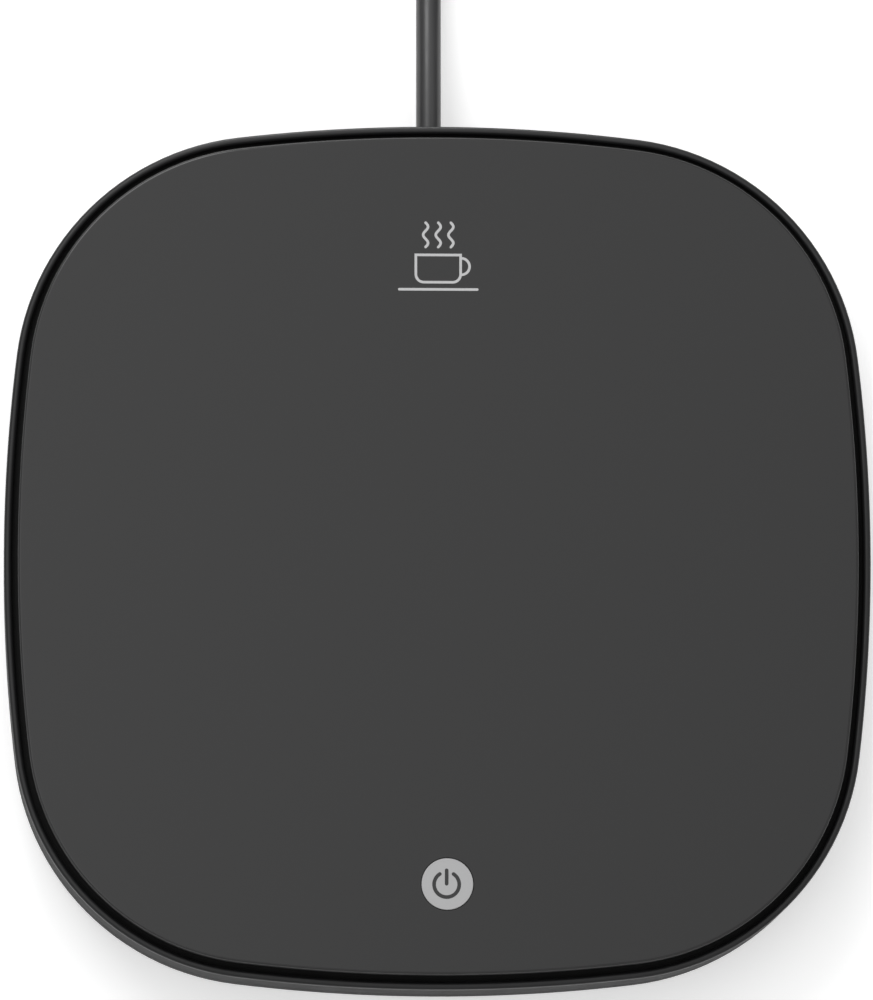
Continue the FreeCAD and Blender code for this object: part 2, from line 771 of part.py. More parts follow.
def make_board_parts():
    """The parts soldered to the board, placed from the power key's switch."""
    switch = new_body("switch_body", *KEY_PLACE, BOARD_TOP)
    half = "switch_side / 2"
    pad(switch, "case", "0", "switch_height", rectangle(f"-{half}", half, f"-{half}", half))
    well = "plunger_radius + key_clearance"
    depth = "(plunger_depth + key_travel + key_clearance)"
    pocket(switch, "plunger_well", f"switch_height - {depth}", depth, circles([("0", "0")], well))
    chip_place = f"({BOARD_FRONT} + chip_inset)"
    keep(chip_with_legs("-chip_across", chip_place), "controller_chip")
    power_front = f"{chip_place} - transistor_depth / 2"
    power = box("power_transistor", "chip_across - transistor_width / 2", power_front,
                BOARD_TOP, "transistor_width", "transistor_depth", "transistor_height")
    keep(power, "power_transistor")
    cans = []
    for n, side in enumerate(("-", "")):
        can = cylinder(f"capacitor_{n + 1}", f"{side}capacitor_across", f"{BOARD_FRONT} + capacitor_inset",
                       BOARD_TOP, "capacitor_radius", "capacitor_height")
        cans.append(can)
    keep(group("capacitors", cans), "board_capacitors")
    chips = []
    for n in range(round(size("resistor_count"))):
        across = f"{BOARD_SCREW_PLACE} - screw_head - resistor_gap - resistor_width - {n} * resistor_step"
        chips.append(box(f"resistor_{n + 1}", across, f"{BOARD_FRONT} + resistor_inset", BOARD_TOP,
                         "resistor_width", "resistor_length", "resistor_height"))
    keep(group("resistors", chips), "board_resistors")
    key_across, key_back = KEY_PLACE
    light = box("light", f"{key_across} + switch_side / 2 + light_gap", f"{key_back} - light_length / 2",
                BOARD_TOP, "light_length / 2", "light_length", "light_length / 2")
    keep(light, "indicator_light")
    for name, across in CONNECTORS.items():
        shell = box(f"{name}_shell", f"{across} - connector_width / 2", CONNECTOR_FRONT, BOARD_TOP,
                    "connector_width", "connector_depth", "connector_height")
        keep(shell, name)


def chip_with_legs(across, back):
    """A moulded case on two rows of legs, fused into one solid."""
    left = f"{across} - chip_length / 2"
    front = f"{back} - chip_width / 2"
    case_base = f"{BOARD_TOP} + leg_thickness"
    solids = [box("chip_case", left, front, case_base, "chip_length", "chip_width", "chip_height")]
    for n in range(round(size("leg_pairs"))):
        leg_across = f"{left} + ({n} + 1 / 2) * chip_length / leg_pairs - leg_width / 2"
        leg = box(f"chip_leg_{n + 1}", leg_across, f"{front} - leg_reach", BOARD_TOP,
                  "leg_width", "chip_width + 2 * leg_reach", "2 * leg_thickness")
        solids.append(leg)
    return fuse("chip", solids)


# Power key


def make_key():
    seal = new_body("key_seal", *KEY_PLACE, SEAL_BASE)
    bore = "key_radius + key_clearance * 2"
    pad(seal, "washer", "0", "seal_thickness", circles([("0", "0")], "seal_radius"))
    pocket(seal, "bore", "0", "seal_thickness", circles([("0", "0")], bore))
    cap = new_body("power_key", *KEY_PLACE, PLUNGER_TOP)
    middle = [("0", "0")]
    stem_length = f"{FLANGE_BASE} - {PLUNGER_TOP}"
    pad(cap, "stem", "0", stem_length, circles(middle, "key_stem_radius"))
    pad(cap, "flange", stem_length, "key_flange_height", circles(middle, "key_flange_radius"))
    button = f"{KEY_TOP} - {FLANGE_TOP}"
    pad(cap, "button", f"{FLANGE_TOP} - {PLUNGER_TOP}", button, circles(middle, "key_radius"))
    round_edges(cap, "button_round", "key_sink * 2", flat_at(size(f"{KEY_TOP} - {PLUNGER_TOP}")))
    plunger = new_body("switch_plunger", *KEY_PLACE, f"{SWITCH_TOP} - plunger_depth")
    pad(plunger, "pin", "0", "plunger_stand + plunger_depth", circles(middle, "plunger_radius"))
    guide = new_body("key_guide", *KEY_PLACE, BOARD_TOP)
    web_base = f"{GUIDE_WEB_BASE} - {BOARD_TOP}"
    web_top = f"{GUIDE_WEB_TOP} - {BOARD_TOP}"
    pad(guide, "sleeve", "0", f"{web_top} + guide_collar", circles(middle, "guide_radius"))
    pocket(guide, "switch_room", "0", web_base, circles(middle, "guide_radius - guide_wall"))
    spring_room = circles(middle, "spring_radius + spring_wire + hole_clearance")
    pocket(guide, "spring_seat", web_top, "guide_collar", spring_room)
    pocket(guide, "stem_bore", web_base, "guide_web", circles(middle, "key_stem_radius + key_clearance"))


def make_spring():
    """The key's return spring, from the guide's web to the key's flange."""
    radius, wire = size("spring_radius"), size("spring_wire")
    low = size(GUIDE_WEB_TOP) + wire / 2 + SPRING_STAY
    high = size(FLANGE_BASE) - wire / 2 - SPRING_STAY
    turns = size("spring_turns")

    def at(turn):
        angle = 2 * math.pi * turn
        return Vector(radius * math.cos(angle), radius * math.sin(angle), low + (high - low) * turn / turns)

    solid = pipe(Part.Wire(biarcs(at, turns, round(4 * turns))), wire / 2)
    spring = doc.addObject("Part::Feature", "key_spring")
    spring.Shape = solid
    across, back = KEY_PLACE
    spring.Placement = Placement(Vector(size(across), size(back), 0), Rotation())
    keep(spring, "key_spring")


SPRING_STAY = 0.02


def biarcs(curve, last, count, first=0.0):
    """Pairs of tangent arcs that follow a curve, a quarter turn to a pair."""
    step = (last - first) / count
    edges = []
    for n in range(count):
        begin, end = curve(first + n * step), curve(first + (n + 1) * step)
        leave, arrive = slope(curve, first + n * step), slope(curve, first + (n + 1) * step)
        chord = end - begin
        both = leave + arrive
        spare = 2 * (1 - leave.dot(arrive))
        reach = (math.sqrt(chord.dot(both) ** 2 + spare * chord.dot(chord)) - chord.dot(both)) / spare
        last_corner = end - arrive * reach
        join = (begin + leave * reach + last_corner) / 2
        edges.append(tangent_arc(begin, leave, join))
        edges.append(tangent_arc(join, (last_corner - join).normalize(), end))
    return edges


def slope(curve, at):
    """The unit tangent of a curve."""
    return (curve(at + TINY) - curve(at - TINY)).normalize()


def tangent_arc(begin, heading, end):
    """The arc that leaves a point along a heading and reaches another point."""
    chord = end - begin
    across = (chord - heading * chord.dot(heading)).normalize()
    radius = chord.dot(chord) / (2 * chord.dot(across))
    centre = begin + across * radius
    to_middle = (begin + end) / 2 - centre
    middle = centre + to_middle.normalize() * radius
    return Part.Arc(begin, middle, end).toShape()


# Cord


def make_cord_entry():
    """Grommet, inner jacket and clamp in the back wall."""
    along = Vector(0, 1, 0)
    rim_base = f"{GROMMET_BASE} - grommet_flange_length"
    barrel = cylinder("grommet_barrel", "-cord_across", GROMMET_BASE, "parting_height", "grommet_radius",
                      GROMMET_LENGTH, along)
    flange = cylinder("grommet_rim", "-cord_across", rim_base, "parting_height", "grommet_flange",
                      "grommet_flange_length", along)
    bore = cylinder("grommet_bore", "-cord_across", rim_base, "parting_height", "cord_radius + cord_stay",
                    f"{GROMMET_LENGTH} + grommet_flange_length", along)
    keep(cut("grommet", fuse("grommet_outside", [barrel, flange]), bore), "cord_grommet")
    jacket = cylinder("jacket", "-cord_across", "half_width - jacket_reach", "parting_height", "cord_radius",
                      "jacket_reach", along)
    keep(jacket, "cord_jacket")
    clamp_base = "(parting_height + cord_radius + cord_stay)"
    clamp = new_body("cord_clamp", height=clamp_base)
    span = "(clamp_span + clamp_post_radius)"
    bar = rectangle(f"-cord_across - {span}", f"{span} - cord_across", CLAMP_FRONT, CLAMP_BACK)
    pad(clamp, "bar", "0", "clamp_thickness", bar)
    holes = circles(clamp_places(), "screw_shank + hole_clearance / 2")
    pocket(clamp, "holes", "0", "clamp_thickness", holes)
    head = f"{clamp_base} + clamp_thickness"
    make_screws("clamp_screws", clamp_places(), head, "screw_bite", upwards=False)


def coil_curve():
    """The coil: one layer spirals in, climbs in half a turn and spirals out on top of it."""
    outer, pitch, turns = size("coil_radius"), size("coil_pitch"), size("coil_turns")
    half_climb = 0.25

    def at(turn):
        from_middle = turn - turns / 2
        steps_in = turns / 2 - abs(from_middle)
        if abs(from_middle) < half_climb:
            steps_in = turns / 2 - half_climb / 2 - from_middle**2 / (2 * half_climb)
        share = min(max(from_middle / (2 * half_climb) + 0.5, 0.0), 1.0)
        rise = pitch * share**2 * (3 - 2 * share)
        radius = outer - pitch * steps_in
        angle = math.pi - 2 * math.pi * turn
        return Vector(radius * math.cos(angle), radius * math.sin(angle), rise)

    return at


def coil_gap(curve):
    """The least gap between turns of the coil, measured on points along its middle line."""
    turns, per_turn = size("coil_turns"), 48
    points = [curve(n / per_turn) for n in range(round(turns * per_turn) + 1)]
    least = min(
        a.distanceToPoint(b)
        for n, a in enumerate(points)
        for b in points[n + per_turn // 2:]
    )
    return least - 2 * size("cord_radius")


def make_coil(start, heading):
    """The coil from the lead's end, with a straight stub of one diameter at both ends."""
    local = coil_curve()
    turns = size("coil_turns")
    turn_to = Rotation(slope(local, TINY), heading)
    stub = 2 * size("cord_radius")
    origin = start + heading * stub - turn_to.multVec(local(0))

    def curve(turn):
        return origin + turn_to.multVec(local(turn))

    edges = [Part.LineSegment(start, curve(0)).toShape()]
    edges += biarcs(curve, turns, round(4 * turns))
    end = curve(turns)
    leave = slope(curve, turns - TINY)
    edges.append(Part.LineSegment(end, end + leave * stub).toShape())
    solid = pipe(Part.Wire(edges), size("cord_radius"))
    coil = doc.addObject("Part::Feature", "cord_coil")
    coil.Shape = solid
    coil.Placement = Placement()
    keep(coil, "cord_coil")
    least_radius = math.hypot(*local(turns / 2)[:2])
    print(f"coil least gap to itself {coil_gap(local):.2f} mm, least radius {least_radius:.1f} mm")
    print("coil centre", origin, "length", sum(edge.Length for edge in edges))
    make_tie(origin, turns)
    return end + leave * stub, leave


def make_tie(centre, turns):
    """A band round both layers of the coil, on its far side."""
    cord, wall, stay = size("cord_radius"), size("tie_thickness"), size("cord_stay")
    inner = size("coil_radius") - size("coil_pitch") * (turns / 2) - cord - stay
    outer = size("coil_radius") + cord + stay
    low = centre.z - cord - stay
    high = centre.z + size("coil_pitch") + cord + stay
    width = size("tie_width")
    across, height = outer - inner, high - low
    outside = Part.makeBox(across + 2 * wall, width, height + 2 * wall,
                           Vector(inner - wall, -width / 2, low - wall))
    inside = Part.makeBox(across, width, height, Vector(inner, -width / 2, low))
    edges = edges_along_y(outside)
    band = outside.makeFillet(cord / 2, edges).cut(inside)
    tie = doc.addObject("Part::Feature", "coil_tie")
    tie.Shape = band
    tie.Placement = Placement(Vector(centre.x, centre.y, 0), Rotation())
    keep(tie, "coil_tie")


def edges_along_y(solid):
    """The edges of a box that run from front to back."""
    return [edge for edge in solid.Edges if edge.BoundBox.YLength > TINY]


def make_cord():
    """Lead, coil, cord end and plug. The points are chosen by hand, in the housing's frame."""
    across, back, rest = -size("cord_across"), size("half_width"), size(CORD_REST)
    lead = [
        Vector(across, back, size("parting_height")),
        Vector(across, back + 12.5, size("parting_height")),
        Vector(across + 0.2, back + 33.0, rest),
        Vector(across + 0.5, back + 52.0, rest),
    ]
    tubes("cord_lead", [lead], "cord_radius")
    start, heading = make_coil(lead[-1], (lead[-1] - lead[-2]).normalize())
    top, plug_level = start.z, size("cord_stay + plug_height / 2")
    end = [
        start,
        start + heading * 9.0,
        start + Vector(-3.2, 21.0, -1.6),
        start + Vector(-12.2, 29.8, 1.9 + rest - top),
        start + Vector(-25.0, 29.2, 0.2 + rest - top),
        Vector(start.x - 33.2, start.y + 20.0, plug_level),
        Vector(start.x - 33.2, start.y + 8.6, plug_level),
    ]
    tubes("cord_end", [end], "cord_radius")
    make_plug(end[-1])


def make_plug(start):
    """The plug lies on the table with its shell towards -Y: strain relief, body, shell, insert, contacts."""
    ahead = Vector(0, -1, 0)
    cord, round_off = size("cord_radius"), size("plug_round")
    relief = size("relief_length")
    neck = Part.makeCone(cord + size("relief_lip"), size("relief_radius"), relief, start, ahead)
    width, height, length = size("plug_width"), size("plug_height"), size("plug_length")
    face = start + ahead * relief
    block = Part.makeBox(width, length, height, face + Vector(-width / 2, -length, -height / 2))
    block = block.makeFillet(round_off, edges_along_y(block))
    part_feature("plug_body", block.fuse(neck).removeSplitter())
    nose = face + ahead * length
    shell_width, shell_height = size("shell_width"), size("shell_height")
    shell_length, wall = size("shell_length"), size("shell_wall")
    corner = nose + Vector(-shell_width / 2, -shell_length, -shell_height / 2)
    outer = Part.makeBox(shell_width, shell_length, shell_height, corner)
    inner = Part.makeBox(shell_width - 2 * wall, shell_length, shell_height - 2 * wall,
                         corner + Vector(wall, 0, wall))
    part_feature("plug_shell", outer.cut(inner))
    clear = size("insert_clearance")
    insert_width = shell_width - 2 * wall - 2 * clear
    insert_height = size("insert_height")
    insert_corner = corner + Vector(wall + clear, wall, wall + clear)
    insert = Part.makeBox(insert_width, shell_length - wall, insert_height, insert_corner)
    part_feature("plug_insert", insert)
    count = round(size("contact_count"))
    step = insert_width / count
    contact_width = size("contact_width")
    contacts = []
    for n in range(count):
        spot = insert_corner + Vector((n + 0.5) * step - contact_width / 2, 0, insert_height)
        contacts.append(Part.makeBox(contact_width, size("contact_length"), size("contact_height"), spot))
    part_feature("plug_contacts", Part.makeCompound(contacts))


def part_feature(name, shape):
    feature = doc.addObject("Part::Feature", name)
    feature.Shape = shape
    feature.Placement = Placement()
    return keep(feature, name)


# Inner wires, with hand chosen points between the pieces they join


def make_wires():
    wire_level = size(CONNECTOR_MIDDLE)
    top = size(CONNECTOR_TOP)
    back = size(CONNECTOR_REAR)
    floor = size(BASE_FLOOR_TOP) + size("wire_radius") + size("cord_stay")
    film = size(FILM_BASE)
    spread = size("wire_spread")
    jacket_front = size("half_width - jacket_reach")
    jacket_level = size("parting_height")
    left = size("-connector_spread")
    centre = -size("cord_across")
    supply = []
    for side in (-1, 1):
        supply.append([
            Vector(left + side * spread, back, wire_level),
            Vector(left + side * spread, back + 6, wire_level),
            Vector(left + side * spread - 1, back + 17, floor),
            Vector(left + side * spread + 2, back + 38, floor),
            Vector(centre + side * 1.2 * spread, jacket_front - 20, floor + 1.0),
            Vector(centre + side * 0.75 * spread, jacket_front - 8, jacket_level),
            Vector(centre + side * 0.75 * spread, jacket_front, jacket_level),
        ])
    tubes("supply_wires", supply, "wire_radius")
    tab_back = size(TAB_WIRE_PLACE)
    tab_side = size("connector_width / 2 + 2 * wire_radius")
    tubes("heater_wire", [[Vector(-spread, tab_back, top), Vector(-spread, tab_back, film)]], "wire_radius")
    reach, fuse_back = size("fuse_reach"), size(FUSE_PLACE)
    fuse_level = size(f"{RETAINER_BASE} - fuse_radius - cord_stay")
    fuse_wires = [
        [
            Vector(-reach, fuse_back, fuse_level),
            Vector(-reach - 4, fuse_back, fuse_level),
            Vector(-reach - 5, fuse_back - 7, fuse_level - 0.5),
            Vector(-6, -2, wire_level - 0.4),
            Vector(0, back + 12, wire_level),
            Vector(0, back, wire_level),
        ],
        [
            Vector(reach, fuse_back, fuse_level),
            Vector(reach + 4, fuse_back, fuse_level),
            Vector(reach + 5, fuse_back - 7, fuse_level - 0.5),
            Vector(6.5, -8, wire_level - 0.6),
            Vector(tab_side + 0.6, tab_back + 11, wire_level - 0.2),
            Vector(tab_side, tab_back, wire_level - 0.4),
            Vector(tab_side, tab_back, film),
        ],
    ]
    tubes("fuse_wires", fuse_wires, "wire_radius")
    right = size("connector_spread")
    probe = size(HEATER_MIDDLE)
    probe_base = size(f"{FILM_BASE} - probe_drop")
    sensor = [[
        Vector(side * spread * 0.8, probe, probe_base),
        Vector(side * spread * 0.8, probe, probe_base - 5.5),
        Vector(side * spread * 0.8 + 4, probe - 7, wire_level - 3.6),
        Vector(right + side * spread - 2, back + 12, wire_level - 0.6),
        Vector(right + side * spread, back + 5, wire_level),
        Vector(right + side * spread, back, wire_level),
    ] for side in (-1, 1)]
    tubes("sensor_wires", sensor, "wire_radius")


def check_and_write():
    """Stops at anything that failed, then writes each sub-part to its own file."""
    doc.recompute()
    for thing in doc.Objects:
        if {"Invalid", "Error"} & set(thing.State):
            raise RuntimeError(f"{thing.Name} failed: {thing.State}")
    os.makedirs("parts", exist_ok=True)
    for thing in sub_parts:
        if thing.Shape.isNull() or not thing.Shape.isValid():
            raise RuntimeError(f"{thing.Label} has no valid shape")
        thing.Shape.exportStep(os.path.join("parts", f"{thing.Label}.step"))
        print(f"{thing.Label}: {len(thing.Shape.Solids)} solid(s), {thing.Shape.Volume:.1f} mm3")


make_upper_housing()
make_lower_housing()
make_glass()
make_gasket()
make_heater()
make_screws("retainer_screws", ear_places(), f"{RETAINER_BASE} - screw_head_height",
            "retainer_thickness + screw_bite / 2")
make_fuse()
head_base = "foot_stand + base_floor - screw_head_height"
make_screws("base_screws", corners_of(BASE_SCREW_PLACE), head_base,
            f"parting_height - {BASE_FLOOR_TOP} + screw_bite")
make_screws("board_screws", board_screw_places(), BOARD_TOP, "board_thickness + board_screw_bite",
            upwards=False)
make_feet()
make_board()
make_board_parts()
make_key()
make_spring()
make_cord_entry()
make_cord()
make_wires()
check_and_write()
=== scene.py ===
"""Looks of a flat electric mug warmer: dark glass, raised rim, flush power key and a lead wound in a coil."""

import json
import logging
from dataclasses import dataclass
from enum import Enum
from functools import cache
from math import atan2, cos, pi, radians, sin, sqrt, tan, tau
from typing import Self, Sequence

import bmesh
import bpy
from mathutils import Matrix, Vector


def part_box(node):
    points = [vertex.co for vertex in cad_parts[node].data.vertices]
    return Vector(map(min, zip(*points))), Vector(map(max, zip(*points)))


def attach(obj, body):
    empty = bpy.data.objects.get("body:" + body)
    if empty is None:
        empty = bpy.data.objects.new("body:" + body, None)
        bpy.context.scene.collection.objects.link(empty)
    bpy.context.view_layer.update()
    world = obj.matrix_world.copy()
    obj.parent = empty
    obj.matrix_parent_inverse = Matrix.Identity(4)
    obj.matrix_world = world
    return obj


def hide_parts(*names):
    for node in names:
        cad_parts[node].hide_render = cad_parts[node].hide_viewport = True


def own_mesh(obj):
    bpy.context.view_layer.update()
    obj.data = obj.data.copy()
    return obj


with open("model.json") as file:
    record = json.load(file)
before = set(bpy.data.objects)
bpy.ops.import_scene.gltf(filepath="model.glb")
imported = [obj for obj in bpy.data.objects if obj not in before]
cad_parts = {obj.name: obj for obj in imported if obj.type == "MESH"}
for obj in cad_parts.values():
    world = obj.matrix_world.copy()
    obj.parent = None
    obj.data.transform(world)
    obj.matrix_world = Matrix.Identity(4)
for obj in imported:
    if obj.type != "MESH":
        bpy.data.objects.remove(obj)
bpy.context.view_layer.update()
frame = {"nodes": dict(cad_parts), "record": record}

log = logging.getLogger("mug_warmer")
MM = 0.001
HOLD = 0.05 * MM
LONG = 8 * HOLD
MERGE = 1e-7
SHARP = 32.0
HOUSING, KEY = "housing", "key"
Pair = tuple[float, float]
Triple = tuple[float, float, float]
Colour = Triple
Profile = list[Pair]
Loop = list[Vector]
Socket = bpy.types.NodeSocket
Thing = bpy.types.Object


class Axis(Enum):
    """The way a turned piece points."""

    UP = Matrix.Identity(3)
    BACK = Matrix(((1, 0, 0), (0, 0, 1), (0, -1, 0)))


class Maths(Enum):
    """What puts two values together."""

    SUM = "ADD"
    LARGER = "MAXIMUM"
    PRODUCT = "MULTIPLY"


# Node trees


class Nodes:
    """A node tree in the making."""

    def __init__(self, tree: bpy.types.NodeTree) -> None:
        """Takes over a tree."""
        self.nodes, self.links = tree.nodes, tree.links

    def feed(self, node: bpy.types.Node, **sockets: object) -> bpy.types.Node:
        """Sets inputs to values, or links outputs to them.

        Args:
            node: the node whose inputs they are.
            sockets: values or outputs by input name, with _ for a space.

        Returns:
            The node.
        """
        for name, value in sockets.items():
            socket = node.inputs[name.replace("_", " ")]
            if isinstance(value, Socket):
                self.links.new(value, socket)
            else:
                socket.default_value = value
        return node

    def add(self, kind: str, **sockets: object) -> bpy.types.Node:
        """A new node of a type, with its inputs fed."""
        return self.feed(self.nodes.new(kind), **sockets)

    def joined(self, how: Maths, first: Socket, second: Socket) -> Socket:
        """Puts two values together.

        Args:
            how: the operation.
            first: one value.
            second: the other value.

        Returns:
            The result.
        """
        node = self.add("ShaderNodeMath")
        node.operation = how.value
        self.links.new(first, node.inputs[0])
        self.links.new(second, node.inputs[1])
        return node.outputs[0]

    def ramp(self, value: Socket, reach: Pair, result: Pair, soft: bool = False) -> Socket:
        """Takes a value from one range to another, and holds it at the ends.

        Args:
            value: the value.
            reach: its lowest and highest.
            result: what these become.
            soft: whether it starts and stops gently.

        Returns:
            The new value.
        """
        ends = dict(zip(("From_Min", "From_Max", "To_Min", "To_Max"), (*reach, *result)))
        node = self.add("ShaderNodeMapRange", Value=value, **ends)
        node.interpolation_type = "SMOOTHSTEP" if soft else "LINEAR"
        return node.outputs["Result"]


class Shader(Nodes):
    """One material and the nodes that feed its main shader."""

    NOISE_REACH = (0.3, 0.7)

    def __init__(self, name: str) -> None:
        """Makes a material with a Principled shader on its output.

        Args:
            name: the material's name.
        """
        self.material = bpy.data.materials.new(name)
        self.material.use_nodes = True
        super().__init__(self.material.node_tree)
        self.main = self.nodes["Principled BSDF"]
        self.place = self.add("ShaderNodeTexCoord").outputs["Object"]

    def surface(self, **sockets: object) -> None:
        """Feeds the main shader's inputs."""
        self.feed(self.main, **sockets)

    def noise(self, scale: float, detail: float = 2.0, stretch: Sequence[float] = ()) -> Socket:
        """Makes a noise value over the object's own coordinates.

        Args:
            scale: how fine it is.
            detail: how many finer layers it has.
            stretch: the scale along each axis, where they differ.

        Returns:
            The value.
        """
        where = self.place
        if stretch:
            where = self.add("ShaderNodeMapping", Vector=where, Scale=stretch).outputs["Vector"]
        return self.add("ShaderNodeTexNoise", Vector=where, Scale=scale, Detail=detail).outputs["Fac"]

    def cells(self, scale: float) -> Socket:
        """Distance to the nearest cell centre, for a spark-eroded grain."""
        return self.add("ShaderNodeTexVoronoi", Vector=self.place, Scale=scale).outputs["Distance"]

    def uneven(self, value: Socket, middle: float, change: float) -> Socket:
        """A number that a noise value changes a little both ways."""
        return self.ramp(value, self.NOISE_REACH, (middle - change, middle + change))

    def below(self, level: float, softness: float, value: float) -> Socket:
        """A value under a level of the object's own Z, and none above it."""
        height = self.add("ShaderNodeSeparateXYZ", Vector=self.place).outputs["Z"]
        return self.ramp(height, (level - softness, level + softness), (value, 0.0))

    def colour(self, share: Socket, first: Colour, second: Colour) -> None:
        """Colours the surface between two colours.

        Args:
            share: the second colour's share.
            first: one colour.
            second: the other colour.
        """
        node = self.add("ShaderNodeMix", Factor=share)
        node.data_type = "RGBA"
        node.inputs[6].default_value = (*first, 1)
        node.inputs[7].default_value = (*second, 1)
        self.surface(Base_Color=node.outputs[2])

    def tint(self, share: Socket, colour: Colour, low: float, high: float) -> None:
        """Colours the surface between two shades of one colour, given as factors."""
        self.colour(share, *(tuple(min(1.0, part * factor) for part in colour) for factor in (low, high)))

    def relief(self, height: Socket, depth: float) -> None:
        """Feeds a height to the surface as a bump of a depth in metres."""
        bump = self.add("ShaderNodeBump", Height=height, Distance=depth, Strength=1.0)
        self.surface(Normal=bump.outputs["Normal"])


class Finish:
    """What a surface looks like."""

    def paint(self, shader: Shader) -> None:
        """Feeds a new material.

        Args:
            shader: the material's shader.
        """
        raise NotImplementedError


@dataclass(frozen=True)
class Moulded(Finish):
    """A moulded plastic or rubber with a fine eroded grain, coarser below a level where it has one."""

    colour: Colour
    roughness: float = 0.45
    grain: float = 5000.0
    depth: float = 0.004 * MM
    mottle: float = 0.08
    specular: float = 0.5
    coat: float = 0.0
    coarse_below: float = 0.0
    coarser: float = 0.0
    blur: float = 0.2 * MM
    patches: float = 45.0
    smears: float = 300.0
    smear: float = 0.04

    def paint(self, shader: Shader) -> None:
        """Grain in the relief, slight change in tone and roughness.

        Args:
            shader: the material's shader.
        """
        shader.tint(shader.noise(self.patches, 3.0), self.colour, 1 - self.mottle, 1 + self.mottle)
        rough = shader.uneven(shader.noise(self.smears), self.roughness, self.smear)
        if self.coarser:
            rough = shader.joined(Maths.SUM, rough, shader.below(self.coarse_below, self.blur, self.coarser))
        shader.surface(Roughness=rough, Specular_IOR_Level=self.specular, Coat_Weight=self.coat)
        shader.relief(shader.cells(self.grain), self.depth)


@dataclass(frozen=True)
class DarkGlass(Finish):
    """Tempered glass that is dark from the print on its back, with a ground edge."""

    colour: Colour = (0.006, 0.006, 0.0062)
    roughness: float = 0.10
    haze: float = 22.0
    smears: float = 140.0
    smear: float = 0.006
    edge_top: float = 21.96 * MM
    edge_blur: float = 0.02 * MM
    ground_edge: float = 0.45
    ripple: float = 160.0
    depth: float = 0.00015 * MM

    def paint(self, shader: Shader) -> None:
        """A deep grey with a faint orange-peel and haze.

        Args:
            shader: the material's shader.
        """
        shader.tint(shader.noise(self.haze, 4.0), self.colour, 0.97, 1.03)
        rough = shader.uneven(shader.noise(self.smears, 5.0), self.roughness, self.smear)
        rough = shader.joined(Maths.SUM, rough, shader.below(self.edge_top, self.edge_blur, self.ground_edge))
        shader.surface(Roughness=rough, IOR=1.5)
        shader.relief(shader.noise(self.ripple, 1.0), self.depth)


@dataclass(frozen=True)
class Plated(Finish):
    """Sheet, wire or turned metal with a drawn or rolled grain."""

    colour: Colour
    roughness: float = 0.3
    stretch: Triple = (1.0, 12.0, 1.0)
    depth: float = 0.002 * MM
    grain: float = 900.0
    smear: float = 0.08

    def paint(self, shader: Shader) -> None:
        """Fine lines in relief and roughness.

        Args:
            shader: the material's shader.
        """
        lines = shader.noise(self.grain, 4.0, self.stretch)
        shader.tint(lines, self.colour, 0.9, 1.06)
        shader.surface(Roughness=shader.uneven(lines, self.roughness, self.smear), Metallic=1.0)
        shader.relief(lines, self.depth)


@dataclass(frozen=True)
class Fibrous(Finish):
    """Felt, braid or hook and loop strap."""

    colour: Colour
    fibre: float = 2600.0
    depth: float = 0.06 * MM
    sheen: float = 0.4
    roughness: float = 0.95
    draw: float = 0.15

    def paint(self, shader: Shader) -> None:
        """Crossed fibres in relief and tone, with a soft sheen.

        Args:
            shader: the material's shader.
        """
        along = shader.noise(self.fibre, 6.0, (1.0, self.draw, 1.0))
        across = shader.noise(self.fibre, 6.0, (self.draw, 1.0, 1.0))
        weave = shader.joined(Maths.LARGER, along, across)
        shader.tint(weave, self.colour, 0.6, 1.3)
        shader.surface(Roughness=self.roughness, Sheen_Weight=self.sheen)
        shader.relief(weave, self.depth)


@dataclass(frozen=True)
class Ink(Finish):
    """Screen printed ink, slightly grainy."""

    colour: Colour
    roughness: float = 0.5
    speck: float = 3500.0
    depth: float = 0.001 * MM

    def paint(self, shader: Shader) -> None:
        """A thin even film with a speck of grain.

        Args:
            shader: the material's shader.
        """
        speck = shader.noise(self.speck)
        shader.tint(speck, self.colour, 0.93, 1.05)
        shader.surface(Roughness=self.roughness)
        shader.relief(speck, self.depth)


@dataclass(frozen=True)
class BoardMask(Finish):
    """Green solder mask with traces beneath it."""

    mask: Colour = (0.012, 0.10, 0.04)
    trace: Colour = (0.02, 0.17, 0.07)
    roughness: float = 0.3
    traces: float = 130.0
    step: Pair = (0.48, 0.52)
    depth: float = 0.02 * MM

    def paint(self, shader: Shader) -> None:
        """Traces that step where a wave does.

        Args:
            shader: the material's shader.
        """
        wave = shader.add("ShaderNodeTexWave", Vector=shader.place, Scale=self.traces, Distortion=6.0, Detail=0.0)
        wave.wave_profile = "SAW"
        edge = shader.ramp(wave.outputs["Fac"], self.step, (0.0, 1.0))
        shader.colour(edge, self.mask, self.trace)
        shader.surface(Roughness=self.roughness)
        shader.relief(edge, self.depth)


